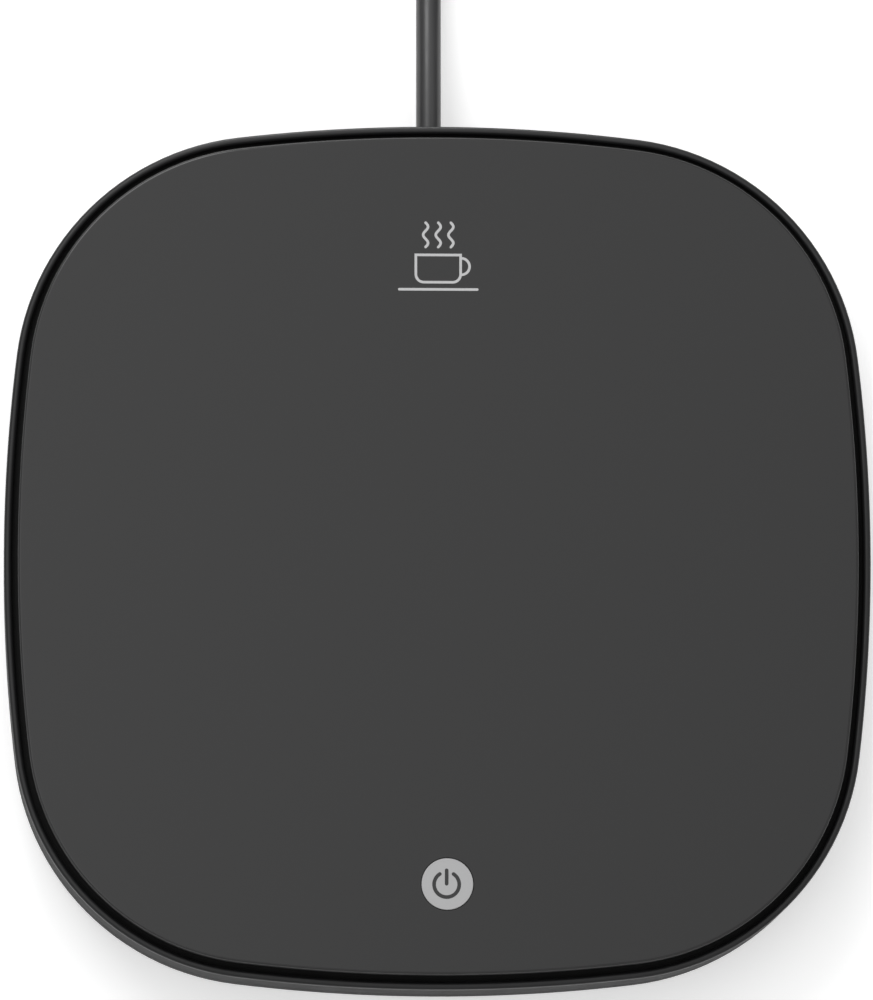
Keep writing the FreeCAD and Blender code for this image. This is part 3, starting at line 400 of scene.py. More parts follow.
FINISHES: dict[str, Finish] = {
    "black_housing": Moulded((0.009, 0.009, 0.0095), 0.38, 4200.0, 0.003 * MM, specular=0.34,
                             coarse_below=18.2 * MM, coarser=0.37),
    "dark_glass": DarkGlass(),
    "black_foam": Moulded((0.006, 0.006, 0.006), 0.9, 2500.0, 0.03 * MM, specular=0.2),
    "grey_bond": Moulded((0.42, 0.42, 0.44), 0.7, 1500.0, 0.02 * MM),
    "bare_aluminium": Plated((0.78, 0.79, 0.8), 0.35, (1.0, 20.0, 1.0)),
    "amber_film": Moulded((0.55, 0.26, 0.05), 0.25, 900.0, 0.005 * MM, coat=0.4),
    "white_felt": Fibrous((0.78, 0.77, 0.72)),
    "plated_steel": Plated((0.62, 0.63, 0.62), 0.32, (14.0, 1.0, 1.0)),
    "glass_bead": Moulded((0.10, 0.06, 0.04), 0.15, 1200.0, 0.002 * MM, coat=0.6),
    "zinc_screws": Plated((0.66, 0.67, 0.68), 0.28, (1.0, 1.0, 8.0)),
    "black_screws": Moulded((0.012, 0.012, 0.013), 0.3, 3000.0, 0.003 * MM),
    "fuse_can": Plated((0.7, 0.66, 0.56), 0.2, (1.0, 10.0, 1.0)),
    "rubber": Moulded((0.012, 0.012, 0.012), 0.75, 3800.0, 0.008 * MM, specular=0.3),
    "green_board": BoardMask(),
    "chip_black": Moulded((0.02, 0.02, 0.022), 0.55, 5200.0, 0.006 * MM),
    "can_aluminium": Plated((0.7, 0.71, 0.73), 0.25, (1.0, 1.0, 10.0)),
    "clear_lens": Moulded((0.85, 0.85, 0.8), 0.08, 800.0, 0.001 * MM, coat=0.5),
    "white_nylon": Moulded((0.76, 0.74, 0.66), 0.4, 2600.0, 0.004 * MM),
    "silver_key": Moulded((0.375, 0.375, 0.378), 0.42, 5200.0, 0.0015 * MM, mottle=0.015),
    "spring_steel": Plated((0.55, 0.56, 0.57), 0.22, (1.0, 1.0, 16.0)),
    "cord_jacket": Moulded((0.026, 0.026, 0.027), 0.33, 2400.0, 0.003 * MM, mottle=0.12, specular=0.56),
    "tie_strap": Fibrous((0.03, 0.03, 0.031), 3200.0, 0.08 * MM),
    "nickel_shell": Plated((0.72, 0.7, 0.66), 0.2, (1.0, 14.0, 1.0)),
    "plug_insert": Moulded((0.8, 0.8, 0.78), 0.35, 2600.0, 0.003 * MM),
    "gold_contacts": Plated((0.83, 0.6, 0.24), 0.2, (10.0, 1.0, 1.0)),
    "wire_red": Moulded((0.42, 0.02, 0.02), 0.4, 2600.0, 0.004 * MM),
    "wire_white": Fibrous((0.72, 0.72, 0.7), 5200.0, 0.03 * MM, 0.1),
    "wire_black": Moulded((0.02, 0.02, 0.02), 0.4, 2600.0, 0.004 * MM),
    "sign_ink": Ink((0.46, 0.46, 0.465)),
    "key_sign_ink": Ink((0.014, 0.014, 0.0145)),
}


@cache
def finish(name: str) -> bpy.types.Material:
    """Makes the material of a finish, once.

    Args:
        name: the finish's name.

    Returns:
        The material.
    """
    shader = Shader(name)
    FINISHES[name].paint(shader)
    return shader.material


# Lines


def angles(first: float, last: float, steps: int) -> list[float]:
    """Evenly spaced angles, with both ends."""
    return [first + (last - first) * n / steps for n in range(steps + 1)]


def level_way(angle: float) -> Vector:
    """The level direction at an angle."""
    return Vector((cos(angle), sin(angle), 0))


def bow(centre: Vector, radius: float, first: float, last: float, steps: int = 8) -> Loop:
    """Points along a level arc, with both ends."""
    return [centre + level_way(angle) * radius for angle in angles(first, last, steps)]


def rectangle(across: float, back: float, height: float = 0.0, middle: Vector = Vector()) -> Loop:
    """The corners of a level rectangle, by its half sizes and its height over a middle."""
    turns = ((-1, -1), (1, -1), (1, 1), (-1, 1))
    return [middle + Vector((x * across, y * back, height)) for x, y in turns]


def held(profile: Profile, ring: bool = False) -> Loop:
    """Adds a point close to both ends of each long line of a profile, so that its faces shade flat.

    Args:
        profile: the profile.
        ring: whether its last point joins its first.

    Returns:
        The fuller profile.
    """
    points = [Vector(point) for point in profile]
    found = []
    for here, after in zip(points, points[1:] + points[:1] if ring else points[1:]):
        along = after - here
        step = along.normalized() * HOLD
        found += [here, here + step, after - step] if along.length > LONG else [here]
    return found if ring else [*found, points[-1]]


def eased(*corners: tuple[float, ...]) -> Profile:
    """Rounds the corners of a profile.

    Args:
        corners: its corners as pairs, each with the radius and steps of its fillet where it has one. Its two
            lines then meet at a right angle.

    Returns:
        The profile's points.
    """
    found = []
    for n, (x, y, *fillet) in enumerate(corners):
        if not fillet:
            found.append((x, y))
            continue
        radius, steps = fillet
        here = Vector((x, y))
        into = (Vector(corners[n - 1][:2]) - here).normalized() * radius
        out = (Vector(corners[(n + 1) % len(corners)][:2]) - here).normalized() * radius
        centre = here + into + out
        found += [tuple(centre - out * cos(a) - into * sin(a)) for a in angles(0.0, pi / 2, steps)]
    return found


# Meshes


def node_box(node: str) -> tuple[Vector, Vector, Vector]:
    """A node's lowest corner, highest corner and middle."""
    low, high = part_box(node)
    return low, high, (low + high) / 2


def back_axis(node: str) -> Vector:
    """Where the axis of a node that points back meets y = 0."""
    middle = node_box(node)[2]
    return Vector((middle.x, 0, middle.z))


def linked(name: str, data: bpy.types.ID) -> Thing:
    """Sets an object in the scene.

    Args:
        name: the object's name.
        data: its mesh, curve, light or camera.

    Returns:
        The new object.
    """
    thing = bpy.data.objects.new(name, data)
    bpy.context.scene.collection.objects.link(thing)
    return thing


def smoothed(data: bpy.types.Mesh, sharp: float) -> None:
    """Shades a mesh smooth, but for edges past an angle in degrees."""
    data.shade_smooth()
    data.set_sharp_from_angle(angle=radians(sharp))


class Skin:
    """A mesh in the making, with the closed and open forms that this object needs."""

    def __init__(self) -> None:
        """Starts an empty mesh."""
        self.mesh = bmesh.new()

    def loft(self, loops: Sequence[Loop], ring: bool = False) -> Self:
        """Skins closed loops one after another, and fills the two ends.

        Args:
            loops: the loops, each with as many points.
            ring: whether the last loop joins the first, with no ends to fill.

        Returns:
            The same skin.
        """
        rows = [[self.mesh.verts.new(point) for point in points] for points in loops]
        for first, second in zip(rows, rows[1:] + rows[:1] if ring else rows[1:]):
            for n, near in enumerate(first):
                m = (n + 1) % len(first)
                self.mesh.faces.new((near, first[m], second[m], second[n]))
        for end in () if ring else (rows[0], rows[-1]):
            self.mesh.faces.new(end)
        return self

    def turned(self, profile: Profile, centre: Vector, axis: Axis = Axis.UP, segments: int = 96,
               ring: bool = False) -> Self:
        """Turns a profile round an axis, with flat ends kept flat.

        Args:
            profile: pairs of radius and height.
            centre: a point on the axis, at height 0.
            axis: the way it points.
            segments: the faces round it.
            ring: whether the profile is closed.

        Returns:
            The same skin.
        """
        if not ring:
            (first, foot), (last, top) = profile[0], profile[-1]
            profile = [(max(first - HOLD, first / 2), foot), *profile, (max(last - HOLD, last / 2), top)]
        turn = angles(0.0, tau, segments)[:-1]
        return self.loft([[centre + axis.value @ Vector((radius * cos(a), radius * sin(a), height)) for a in turn]
                          for radius, height in held(profile, ring)], ring)

    def stroke(self, points: Loop, width: float, thickness: float, closed: bool = False) -> Self:
        """Draws a flat printed line along points in a level plane.

        Args:
            points: the line's middle.
            width: its width.
            thickness: its height over the points.
            closed: whether it comes back to its start. Otherwise its ends are round.

        Returns:
            The same skin.
        """
        if closed:
            line = [points[-1], *points, points[0]]
        else:
            line = [2 * points[0] - points[1], *points, 2 * points[-1] - points[-2]]
        left, right = [], []
        for before, point, after in zip(line, line[1:], line[2:]):
            along = (point - before).normalized() + (after - point).normalized()
            side = Vector((-along.y, along.x, 0)) * width / along.length_squared
            left.append(point + side)
            right.append(point - side)
        lift = Vector((0, 0, thickness))
        if closed:
            return self.loft([left, [p + lift for p in left], [p + lift for p in right], right], ring=True)
        outline = left + self.cap(points[-1], points[-2], width / 2)
        outline += right[::-1] + self.cap(points[0], points[1], width / 2)
        return self.loft([outline, [p + lift for p in outline]])

    @staticmethod
    def cap(end: Vector, inner: Vector, half: float) -> Loop:
        """Rounds a line's end.

        Args:
            end: its last point.
            inner: the point before it.
            half: half its width.

        Returns:
            The points of a half circle, from the line's left side to its right side.
        """
        ahead = (end - inner).normalized()
        left = Vector((-ahead.y, ahead.x, 0))
        return [end + left * half * cos(a) + ahead * half * sin(a) for a in angles(0.0, pi, 6)[1:-1]]

    def object(self, name: str, sharp: float = SHARP) -> Thing:
        """Ends the mesh: doubles merged, faces outwards, smooth but for its sharp edges.

        Args:
            name: the object's name.
            sharp: the angle in degrees past which an edge is sharp.

        Returns:
            The new object.
        """
        bmesh.ops.remove_doubles(self.mesh, verts=self.mesh.verts, dist=MERGE)
        bmesh.ops.recalc_face_normals(self.mesh, faces=self.mesh.faces)
        data = bpy.data.meshes.new(name)
        self.mesh.to_mesh(data)
        self.mesh.free()
        smoothed(data, sharp)
        return linked(name, data)


def applied(thing: Thing) -> Thing:
    """Turns an object's modifiers into its mesh, and marks its sharp edges again.

    Args:
        thing: the object.

    Returns:
        The same object.
    """
    graph = bpy.context.evaluated_depsgraph_get()
    data = bpy.data.meshes.new_from_object(thing.evaluated_get(graph))
    thing.modifiers.clear()
    thing.data = data
    smoothed(data, SHARP)
    return thing


def carved(thing: Thing, cutters: Sequence[Thing]) -> Thing:
    """Cuts closed cutters out of an object, and removes them.

    Args:
        thing: the object.
        cutters: what is cut out of it.

    Returns:
        The same object.
    """
    for cutter in cutters:
        modifier = thing.modifiers.new("cut", "BOOLEAN")
        modifier.operation = "DIFFERENCE"
        modifier.solver = "EXACT"
        modifier.object = cutter
    applied(thing)
    for cutter in cutters:
        bpy.data.objects.remove(cutter)
    return thing


def round_cutter(radius: float, low: float, high: float, centre: Vector, axis: Axis = Axis.UP) -> Thing:
    """A plain round cutter between two heights along its axis."""
    return Skin().turned([(radius, low), (radius, high)], centre, axis, 64).object("cutter")


def bar_cutter(*rows: Triple, middle: Vector = Vector()) -> Thing:
    """A square cutter through level rectangles, each two half sizes and a height over a middle."""
    return Skin().loft([rectangle(*row, middle) for row in rows]).object("cutter")


def dress(thing: Thing, slot: str, body: str = HOUSING, nodes: Sequence[str] = (), paint: str = "") -> Thing:
    """Gives a finished piece its material and body, and hides the nodes it stands for.

    Args:
        thing: the piece, at the origin.
        slot: the record's material slot.
        body: the body that it rides on.
        nodes: CAD nodes that it replaces.
        paint: the finish, where it isn't the slot's own.

    Returns:
        The piece.
    """
    thing.data.materials.clear()
    thing.data.materials.append(finish(paint or slot))
    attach(thing, body)
    if nodes:
        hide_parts(*nodes)
    log.info("%s rides on %s", thing.name, body)
    return thing


# Geometry Nodes


class Repeat(Nodes):
    """A tree that sets copies of a piece on a grid, each turned by chance about its own axis."""

    SEED = 7
    INPUTS = {
        "Span Across": "NodeSocketFloat",
        "Span Back": "NodeSocketFloat",
        "Count Across": "NodeSocketInt",
        "Count Back": "NodeSocketInt",
        "Middle": "NodeSocketVector",
        "Turn": "NodeSocketFloat",
        "Finish": "NodeSocketMaterial",
    }
    GRID = {"Size X": "Span Across", "Size Y": "Span Back",
            "Vertices X": "Count Across", "Vertices Y": "Count Back"}

    def __init__(self) -> None:
        """Builds the tree once."""
        self.tree = bpy.data.node_groups.new("repeat_on_grid", "GeometryNodeTree")
        super().__init__(self.tree)
        face = self.tree.interface
        face.new_socket("Geometry", in_out="INPUT", socket_type="NodeSocketGeometry")
        self.inputs = [face.new_socket(label, in_out="INPUT", socket_type=kind).identifier
                       for label, kind in self.INPUTS.items()]
        face.new_socket("Geometry", in_out="OUTPUT", socket_type="NodeSocketGeometry")
        source = self.add("NodeGroupInput").outputs
        grid = self.add("GeometryNodeMeshGrid", **{socket: source[label] for socket, label in self.GRID.items()})
        shift = self.add("GeometryNodeTransform", Geometry=grid.outputs["Mesh"], Translation=source["Middle"])
        chance = self.add("FunctionNodeRandomValue", Seed=self.SEED)
        chance.data_type = "FLOAT"
        self.links.new(source["Turn"], chance.inputs[3])
        angle = self.add("ShaderNodeCombineXYZ", Z=chance.outputs[1])
        copies = self.add("GeometryNodeInstanceOnPoints", Points=shift.outputs["Geometry"],
                          Instance=source["Geometry"], Rotation=angle.outputs["Vector"])
        real = self.add("GeometryNodeRealizeInstances", Geometry=copies.outputs["Instances"])
        paint = self.add("GeometryNodeSetMaterial", Geometry=real.outputs["Geometry"], Material=source["Finish"])
        self.add("NodeGroupOutput", Geometry=paint.outputs["Geometry"])

    def on(self, piece: Thing, spans: Pair, counts: tuple[int, int], middle: Vector, paint: str,
           turn: float = 0.0) -> None:
        """Repeats a piece that is modelled at the origin, and makes it a plain mesh of all copies.

        Args:
            piece: the piece to repeat.
            spans: the grid's size across and back.
            counts: the copies across and back.
            middle: the grid's centre.
            paint: the finish of every copy.
            turn: the most that a copy is turned by chance, in radians.
        """
        modifier = piece.modifiers.new("repeat", "NODES")
        modifier.node_group = self.tree
        for identifier, value in zip(self.inputs, (*spans, *counts, middle, turn, finish(paint))):
            modifier[identifier] = value
        applied(piece)


# Sub-assemblies


@dataclass(frozen=True)
class Outline:
    """The rim seen from above: four bowed sides that run into four corner arcs."""

    half_width: float = 60.0 * MM
    side_bow: float = 231.0 * MM
    corner_round: float = 35.0 * MM
    side_steps: int = 22
    corner_steps: int = 26

    def stations(self) -> list[tuple[Vector, Vector]]:
        """Points along the outline, each with its outward direction."""
        sink = self.side_bow - self.half_width
        spare = self.side_bow - self.corner_round
        place = (sqrt(2 * spare**2 - sink**2) - sink) / 2
        half_side = atan2(place, place + sink)
        found = []
        for facing in angles(0.0, tau, 4)[:-1]:
            first, last = facing + half_side, facing + pi / 2 - half_side
            side, corner = level_way(facing) * -sink, level_way(facing + pi / 4) * place * sqrt(2)
            for centre, radius, turn in ((side, self.side_bow, angles(facing - half_side, first, self.side_steps)),
                                         (corner, self.corner_round, angles(first, last, self.corner_steps))):
                found += [(centre + level_way(angle) * radius, level_way(angle)) for angle in turn[:-1]]
        return found

    def loops(self, profile: Profile, ring: bool = False) -> list[Loop]:
        """The loops of a profile of insets and heights that is swept round the outline."""
        return [[point - way * inset + Vector((0, 0, height)) for point, way in self.stations()]
                for inset, height in held(profile, ring)]


@dataclass
class Housing:
    """Upper housing with the raised lip, lower housing, glass and the bead round it."""

    outline: Outline
    wall: float = 2.0 * MM
    lip_width: float = 1.1 * MM
    lip_round: float = 0.5 * MM
    shelf_depth: float = 1.5 * MM
    shelf_reach: float = 9.0 * MM
    shelf_thickness: float = 2.0 * MM
    base_round: float = 2.2 * MM
    base_land: float = 5.2 * MM
    foot_stand: float = 1.5 * MM
    base_floor: float = 2.0 * MM
    parting: float = 8.0 * MM
    reveal: float = 0.3 * MM
    tongue_gap: float = 0.15 * MM
    tongue_width: float = 1.2 * MM
    tongue_height: float = 1.6 * MM
    soft_edge: float = 0.15 * MM
    soft_break: float = 0.04 * MM
    notch: float = 3.35 * MM
    notch_run: float = 0.35 * MM
    foot_seat: float = 6.1 * MM
    foot_seat_depth: float = 0.8 * MM
    screw_seat: float = 2.95 * MM
    screw_skin: float = 0.001 * MM
    glass_gap: float = 0.85 * MM
    glass_edge: float = 0.35 * MM
    glass_back_edge: float = 0.2 * MM
    glass_land: float = 4.0 * MM
    key_hole: float = 3.67 * MM
    bead_height: float = 0.4 * MM
    bead_sag: float = 0.15 * MM
    bead_lap: float = 0.02 * MM

    def build(self) -> None:
        """Builds and dresses the four pieces."""
        self.upper()
        self.lower()
        self.glass()
        self.sealant()

    def upper(self) -> None:
        """The ring that holds the glass, with its full round lip."""
        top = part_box("upper_housing")[1].z
        shelf = top - self.shelf_depth
        under = shelf - self.shelf_thickness
        foot = self.parting + self.reveal
        lip, edge, fine = self.lip_width, self.soft_edge, self.soft_break
        profile = eased((self.wall, foot), (edge, foot), (fine, foot + fine), (0.0, foot + edge),
                        (0.0, top, self.lip_round, 8), (lip, top, self.lip_round, 8), (lip, shelf),
                        (self.shelf_reach, shelf), (self.shelf_reach, under), (self.wall, under))
        ring = Skin().loft(self.outline.loops(profile, ring=True), ring=True).object("upper_housing_shell")
        dress(carved(ring, [self.notch_cutter()]), "black_housing", nodes=["upper_housing"])

    def notch_cutter(self) -> Thing:
        """The round cutter of the lead's notch in the back wall."""
        reach = self.outline.half_width
        inner = reach - self.wall - self.tongue_gap - self.tongue_width - self.notch_run
        return round_cutter(self.notch, inner, reach + self.wall, back_axis("cord_grommet"), Axis.BACK)

    def lower(self) -> None:
        """The tray, with its rounded bottom edge, foot seats and screw recesses."""
        low, inside, parting = self.foot_stand, self.foot_stand + self.base_floor, self.parting
        tongue = self.wall + self.tongue_gap
        inner, crest = tongue + self.tongue_width, parting + self.tongue_height
        edge, fine = self.soft_edge, self.soft_break
        profile = eased((self.base_land, low), (0.0, low, self.base_round, 10), (0.0, parting - edge),
                        (fine, parting - fine), (edge, parting), (tongue, parting), (tongue, crest),
                        (inner, crest), (inner, inside))
        tray = Skin().loft(self.outline.loops(profile)).object("lower_housing_shell")
        dress(carved(tray, [self.notch_cutter(), *self.seat_cutters()]), "black_housing", nodes=["lower_housing"])

    def seat_cutters(self) -> list[Thing]:
        """Cutters of the four foot seats and four screw recesses."""
        foot_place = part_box("rubber_feet")[1].x - Underside.foot_radius
        screw_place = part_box("base_screws")[1].x - Underside.screw_head
        seats = ((foot_place, self.foot_seat, self.foot_stand + self.foot_seat_depth),
                 (screw_place, self.screw_seat, self.foot_stand + self.base_floor - self.screw_skin))
        return [round_cutter(radius, -MM, top, Vector((across * place, back * place, 0)))
                for across in (-1, 1) for back in (-1, 1) for place, radius, top in seats]

    def glass(self) -> None:
        """The glass plate with its ground edge and the key's drilled hole."""
        low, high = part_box("top_glass")
        inset = self.lip_width + self.glass_gap
        land, back = inset + self.glass_land, self.glass_back_edge
        profile = eased((land, low.z), (inset + back, low.z), (inset, low.z + back),
                        (inset, high.z, self.glass_edge, 6), (land, high.z))
        plate = Skin().loft(self.outline.loops(profile)).object("glass_plate")
        key = node_box("power_key")[2]
        hole = round_cutter(self.key_hole, low.z - MM, high.z + MM, Vector((key.x, key.y, 0)))
        dress(carved(plate, [hole]), "dark_glass", nodes=["top_glass"])

    def sealant(self) -> None:
        """The matt bead of sealant in the groove between lip and glass."""
        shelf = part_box("upper_housing")[1].z - self.shelf_depth
        first, last = self.lip_width - self.bead_lap, self.lip_width + self.glass_gap + 4 * self.bead_lap
        low, high = shelf - self.bead_lap, shelf + self.bead_height
        sag = ((first + last) / 2, high - self.bead_sag)
        profile = [(first, low), (first, high), sag, (last, high), (last, low)]
        bead = Skin().loft(self.outline.loops(profile), ring=True).object("groove_sealant", 60)
        dress(bead, "black_foam")


@dataclass
class PowerKey:
    """The flush round key, the power sign printed on it and its return spring."""

    radius: float = 3.57 * MM
    flange: float = 4.7 * MM
    flange_height: float = 1.0 * MM
    flange_drop: float = 0.55 * MM
    stem: float = 1.6 * MM
    edge: float = 0.1 * MM
    sign_shift: Pair = (-0.1 * MM, -0.07 * MM)
    ring_radius: float = 1.73 * MM
    stroke: float = 0.51 * MM
    opening: float = radians(33.0)
    bar: Pair = (0.10 * MM, 1.96 * MM)
    ink: float = 0.012 * MM
    travel: float = 0.5 * MM
    spring_wire: float = 0.2 * MM
    spring_turns: int = 3
    turn_steps: int = 32
    wire_sides: int = 12

    def build(self) -> None:
        """Builds the key, its sign and its return spring."""
        low, high, middle = node_box("power_key")
        flange_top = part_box("top_glass")[0].z - self.flange_drop
        flange_foot = flange_top - self.flange_height
        profile = eased((self.stem, low.z), (self.stem, flange_foot), (self.flange, flange_foot),
                        (self.flange, flange_top), (self.radius, flange_top),
                        (self.radius, high.z, self.edge, 4), (0.0, high.z))[:-1]
        cap = Skin().turned(profile, Vector((middle.x, middle.y, 0)), segments=128).object("power_key_cap")
        dress(cap, "silver_key", KEY, ["power_key"])
        self.sign()
        self.spring()

    def spring(self) -> None:
        """The return spring, a coil of round wire."""
        low, high, middle = node_box("key_spring")
        height, wire = high.z - low.z, self.spring_wire
        radius = (high.x - low.x) / 2 - wire
        steps = self.spring_turns * self.turn_steps
        rows = []
        for n, angle in enumerate(angles(0.0, tau * self.spring_turns, steps)):
            out = level_way(angle)
            place = middle + out * radius
            place.z = low.z + wire + (height - 2 * wire) * n / steps
            rows.append([place + out * wire * cos(a) + Vector((0, 0, wire * sin(a)))
                         for a in angles(0.0, tau, self.wire_sides)[:-1]])
        piece = dress(Skin().loft(rows).object("key_spring_coil"), "spring_steel", nodes=["key_spring"])
        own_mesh(piece)

    def sign(self) -> None:
        """The open ring and bar of the power sign."""
        high, middle = node_box("power_key")[1:]
        across, back = self.sign_shift
        centre = Vector((middle.x + across, middle.y + back, high.z - self.ink / 2))
        ring = bow(centre, self.ring_radius, pi / 2 + self.opening, pi * 5 / 2 - self.opening, 64)
        skin = Skin().stroke(ring, self.stroke, self.ink)
        skin.stroke([centre + Vector((0, y, 0)) for y in self.bar], self.stroke, self.ink)
        dress(skin.object("power_sign"), "silver_key", KEY, paint="key_sign_ink")


@dataclass
class HotMugSign:
    """A generic line sign on the glass: a mug over a line, with three wisps of steam."""

    repeat: Repeat
    middle: Pair = (-0.1 * MM, 41.4 * MM)
    stroke: float = 0.36 * MM
    base_half: float = 5.4 * MM
    base_drop: float = 4.6 * MM
    mug_half: float = 3.1 * MM
    mug_top: float = 0.2 * MM
    mug_foot: float = -3.6 * MM
    mug_round: float = 1.1 * MM
    handle: float = 1.15 * MM
    handle_level: float = -1.4 * MM
    wisp_foot: float = 1.3 * MM
    wisp_height: float = 3.4 * MM
    wisp_sway: float = 0.34 * MM
    wisp_waves: float = 1.5
    wisp_step: float = 1.75 * MM
    wisps: int = 3
    ink: float = 0.012 * MM

    def at(self, x: float, y: float, lift: float = 0.0) -> Vector:
        """A point of the sign, by its place from the sign's middle."""
        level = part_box("top_glass")[1].z - self.ink / 2
        return Vector((self.middle[0] + x, self.middle[1] + y, level + lift))

    def build(self) -> None:
        """Builds the mug, its line and the wisps."""
        half, top, foot, turn = self.mug_half, self.mug_top, self.mug_foot, self.mug_round
        cup = [self.at(-half, top), *bow(self.at(turn - half, foot + turn), turn, pi, pi * 1.5)]
        cup += [*bow(self.at(half - turn, foot + turn), turn, pi * 1.5, tau), self.at(half, top)]
        grip = self.at(half + self.stroke / 4, self.handle_level, self.ink / 4)
        line = [self.at(x, -self.base_drop) for x in (-self.base_half, 0, self.base_half)]
        skin = Skin().stroke(cup, self.stroke, self.ink, closed=True)
        skin.stroke(bow(grip, self.handle, -pi / 2, pi / 2, 24), self.stroke, self.ink)
        skin.stroke(line, self.stroke, self.ink)
        dress(skin.object("hot_mug_sign"), "dark_glass", paint="sign_ink")
        wisp = [Vector((self.wisp_sway * sin(a), self.wisp_height * (a / (tau * self.wisp_waves) - 0.5), 0))
                for a in angles(0.0, tau * self.wisp_waves, 28)]
        piece = Skin().stroke(wisp, self.stroke, self.ink).object("steam_wisps")
        span, middle = (self.wisps - 1) * self.wisp_step, self.at(0, self.wisp_foot + self.wisp_height / 2)
        self.repeat.on(piece, (span, 0.0), (self.wisps, 1), middle, "sign_ink")
        dress(piece, "dark_glass", paint="sign_ink")


@dataclass
class Underside:
    """Rubber feet and base screws."""

    repeat: Repeat
    foot_radius: float = 6.0 * MM
    foot_height: float = 2.3 * MM
    foot_edge: float = 0.5 * MM
    tread_rings: int = 3
    tread_depth: float = 0.25 * MM
    screw_head: float = 2.6 * MM
    screw_height: float = 1.5 * MM
    screw_shank: float = 1.3 * MM
    head_round: float = 0.675 * MM
    recess: float = 1.5 * MM
    recess_foot: float = 0.825 * MM
    recess_half: float = 0.35 * MM
    recess_reach: Pair = (-0.2 * MM, 0.8 * MM)

    def build(self) -> None:
        """Builds the four feet and the four screws."""
        for piece, node, radius, slot, turn in (
            (self.foot(), "rubber_feet", self.foot_radius, "rubber", 0.0),
            (self.screw(), "base_screws", self.screw_head, "black_screws", pi),
        ):
            low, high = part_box(node)
            span = 2 * (high.x - radius)
            self.repeat.on(piece, (span, span), (2, 2), Vector((0, 0, low.z)), slot, turn)
            dress(piece, slot, nodes=[node])

    def foot(self) -> Thing:
        """One foot, with ring grooves in its tread."""
        radius, height, depth = self.foot_radius, self.foot_height, self.tread_depth
        step = (radius - 2 * self.foot_edge) / (2 * self.tread_rings + 1)
        profile = []
        for ring in range(self.tread_rings):
            inner = step * (2 * ring + 1)
            profile += [(inner, 0.0), (inner, depth), (inner + step, depth), (inner + step, 0.0)]
        profile += [(radius, 0.0, self.foot_edge, 5), (radius, height)]
        return Skin().turned(eased(*profile), Vector()).object("feet")

    def screw(self) -> Thing:
        """One pan head screw, head down, with a cross recess."""
        low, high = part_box("base_screws")
        head, height, shank = self.screw_head, self.screw_height, self.screw_shank
        profile = eased((0.0, 0.0), (head, 0.0, self.head_round, 5), (head, height), (shank, height),
                        (shank, high.z - low.z))[1:]
        screw = Skin().turned(profile, Vector(), segments=48).object("screws")
        wide, narrow, half, (mouth, foot) = self.recess, self.recess_foot, self.recess_half, self.recess_reach
        return carved(screw, [bar_cutter((wide, half, mouth), (narrow, half, foot)),
                              bar_cutter((half, wide, mouth), (half, narrow, foot))])


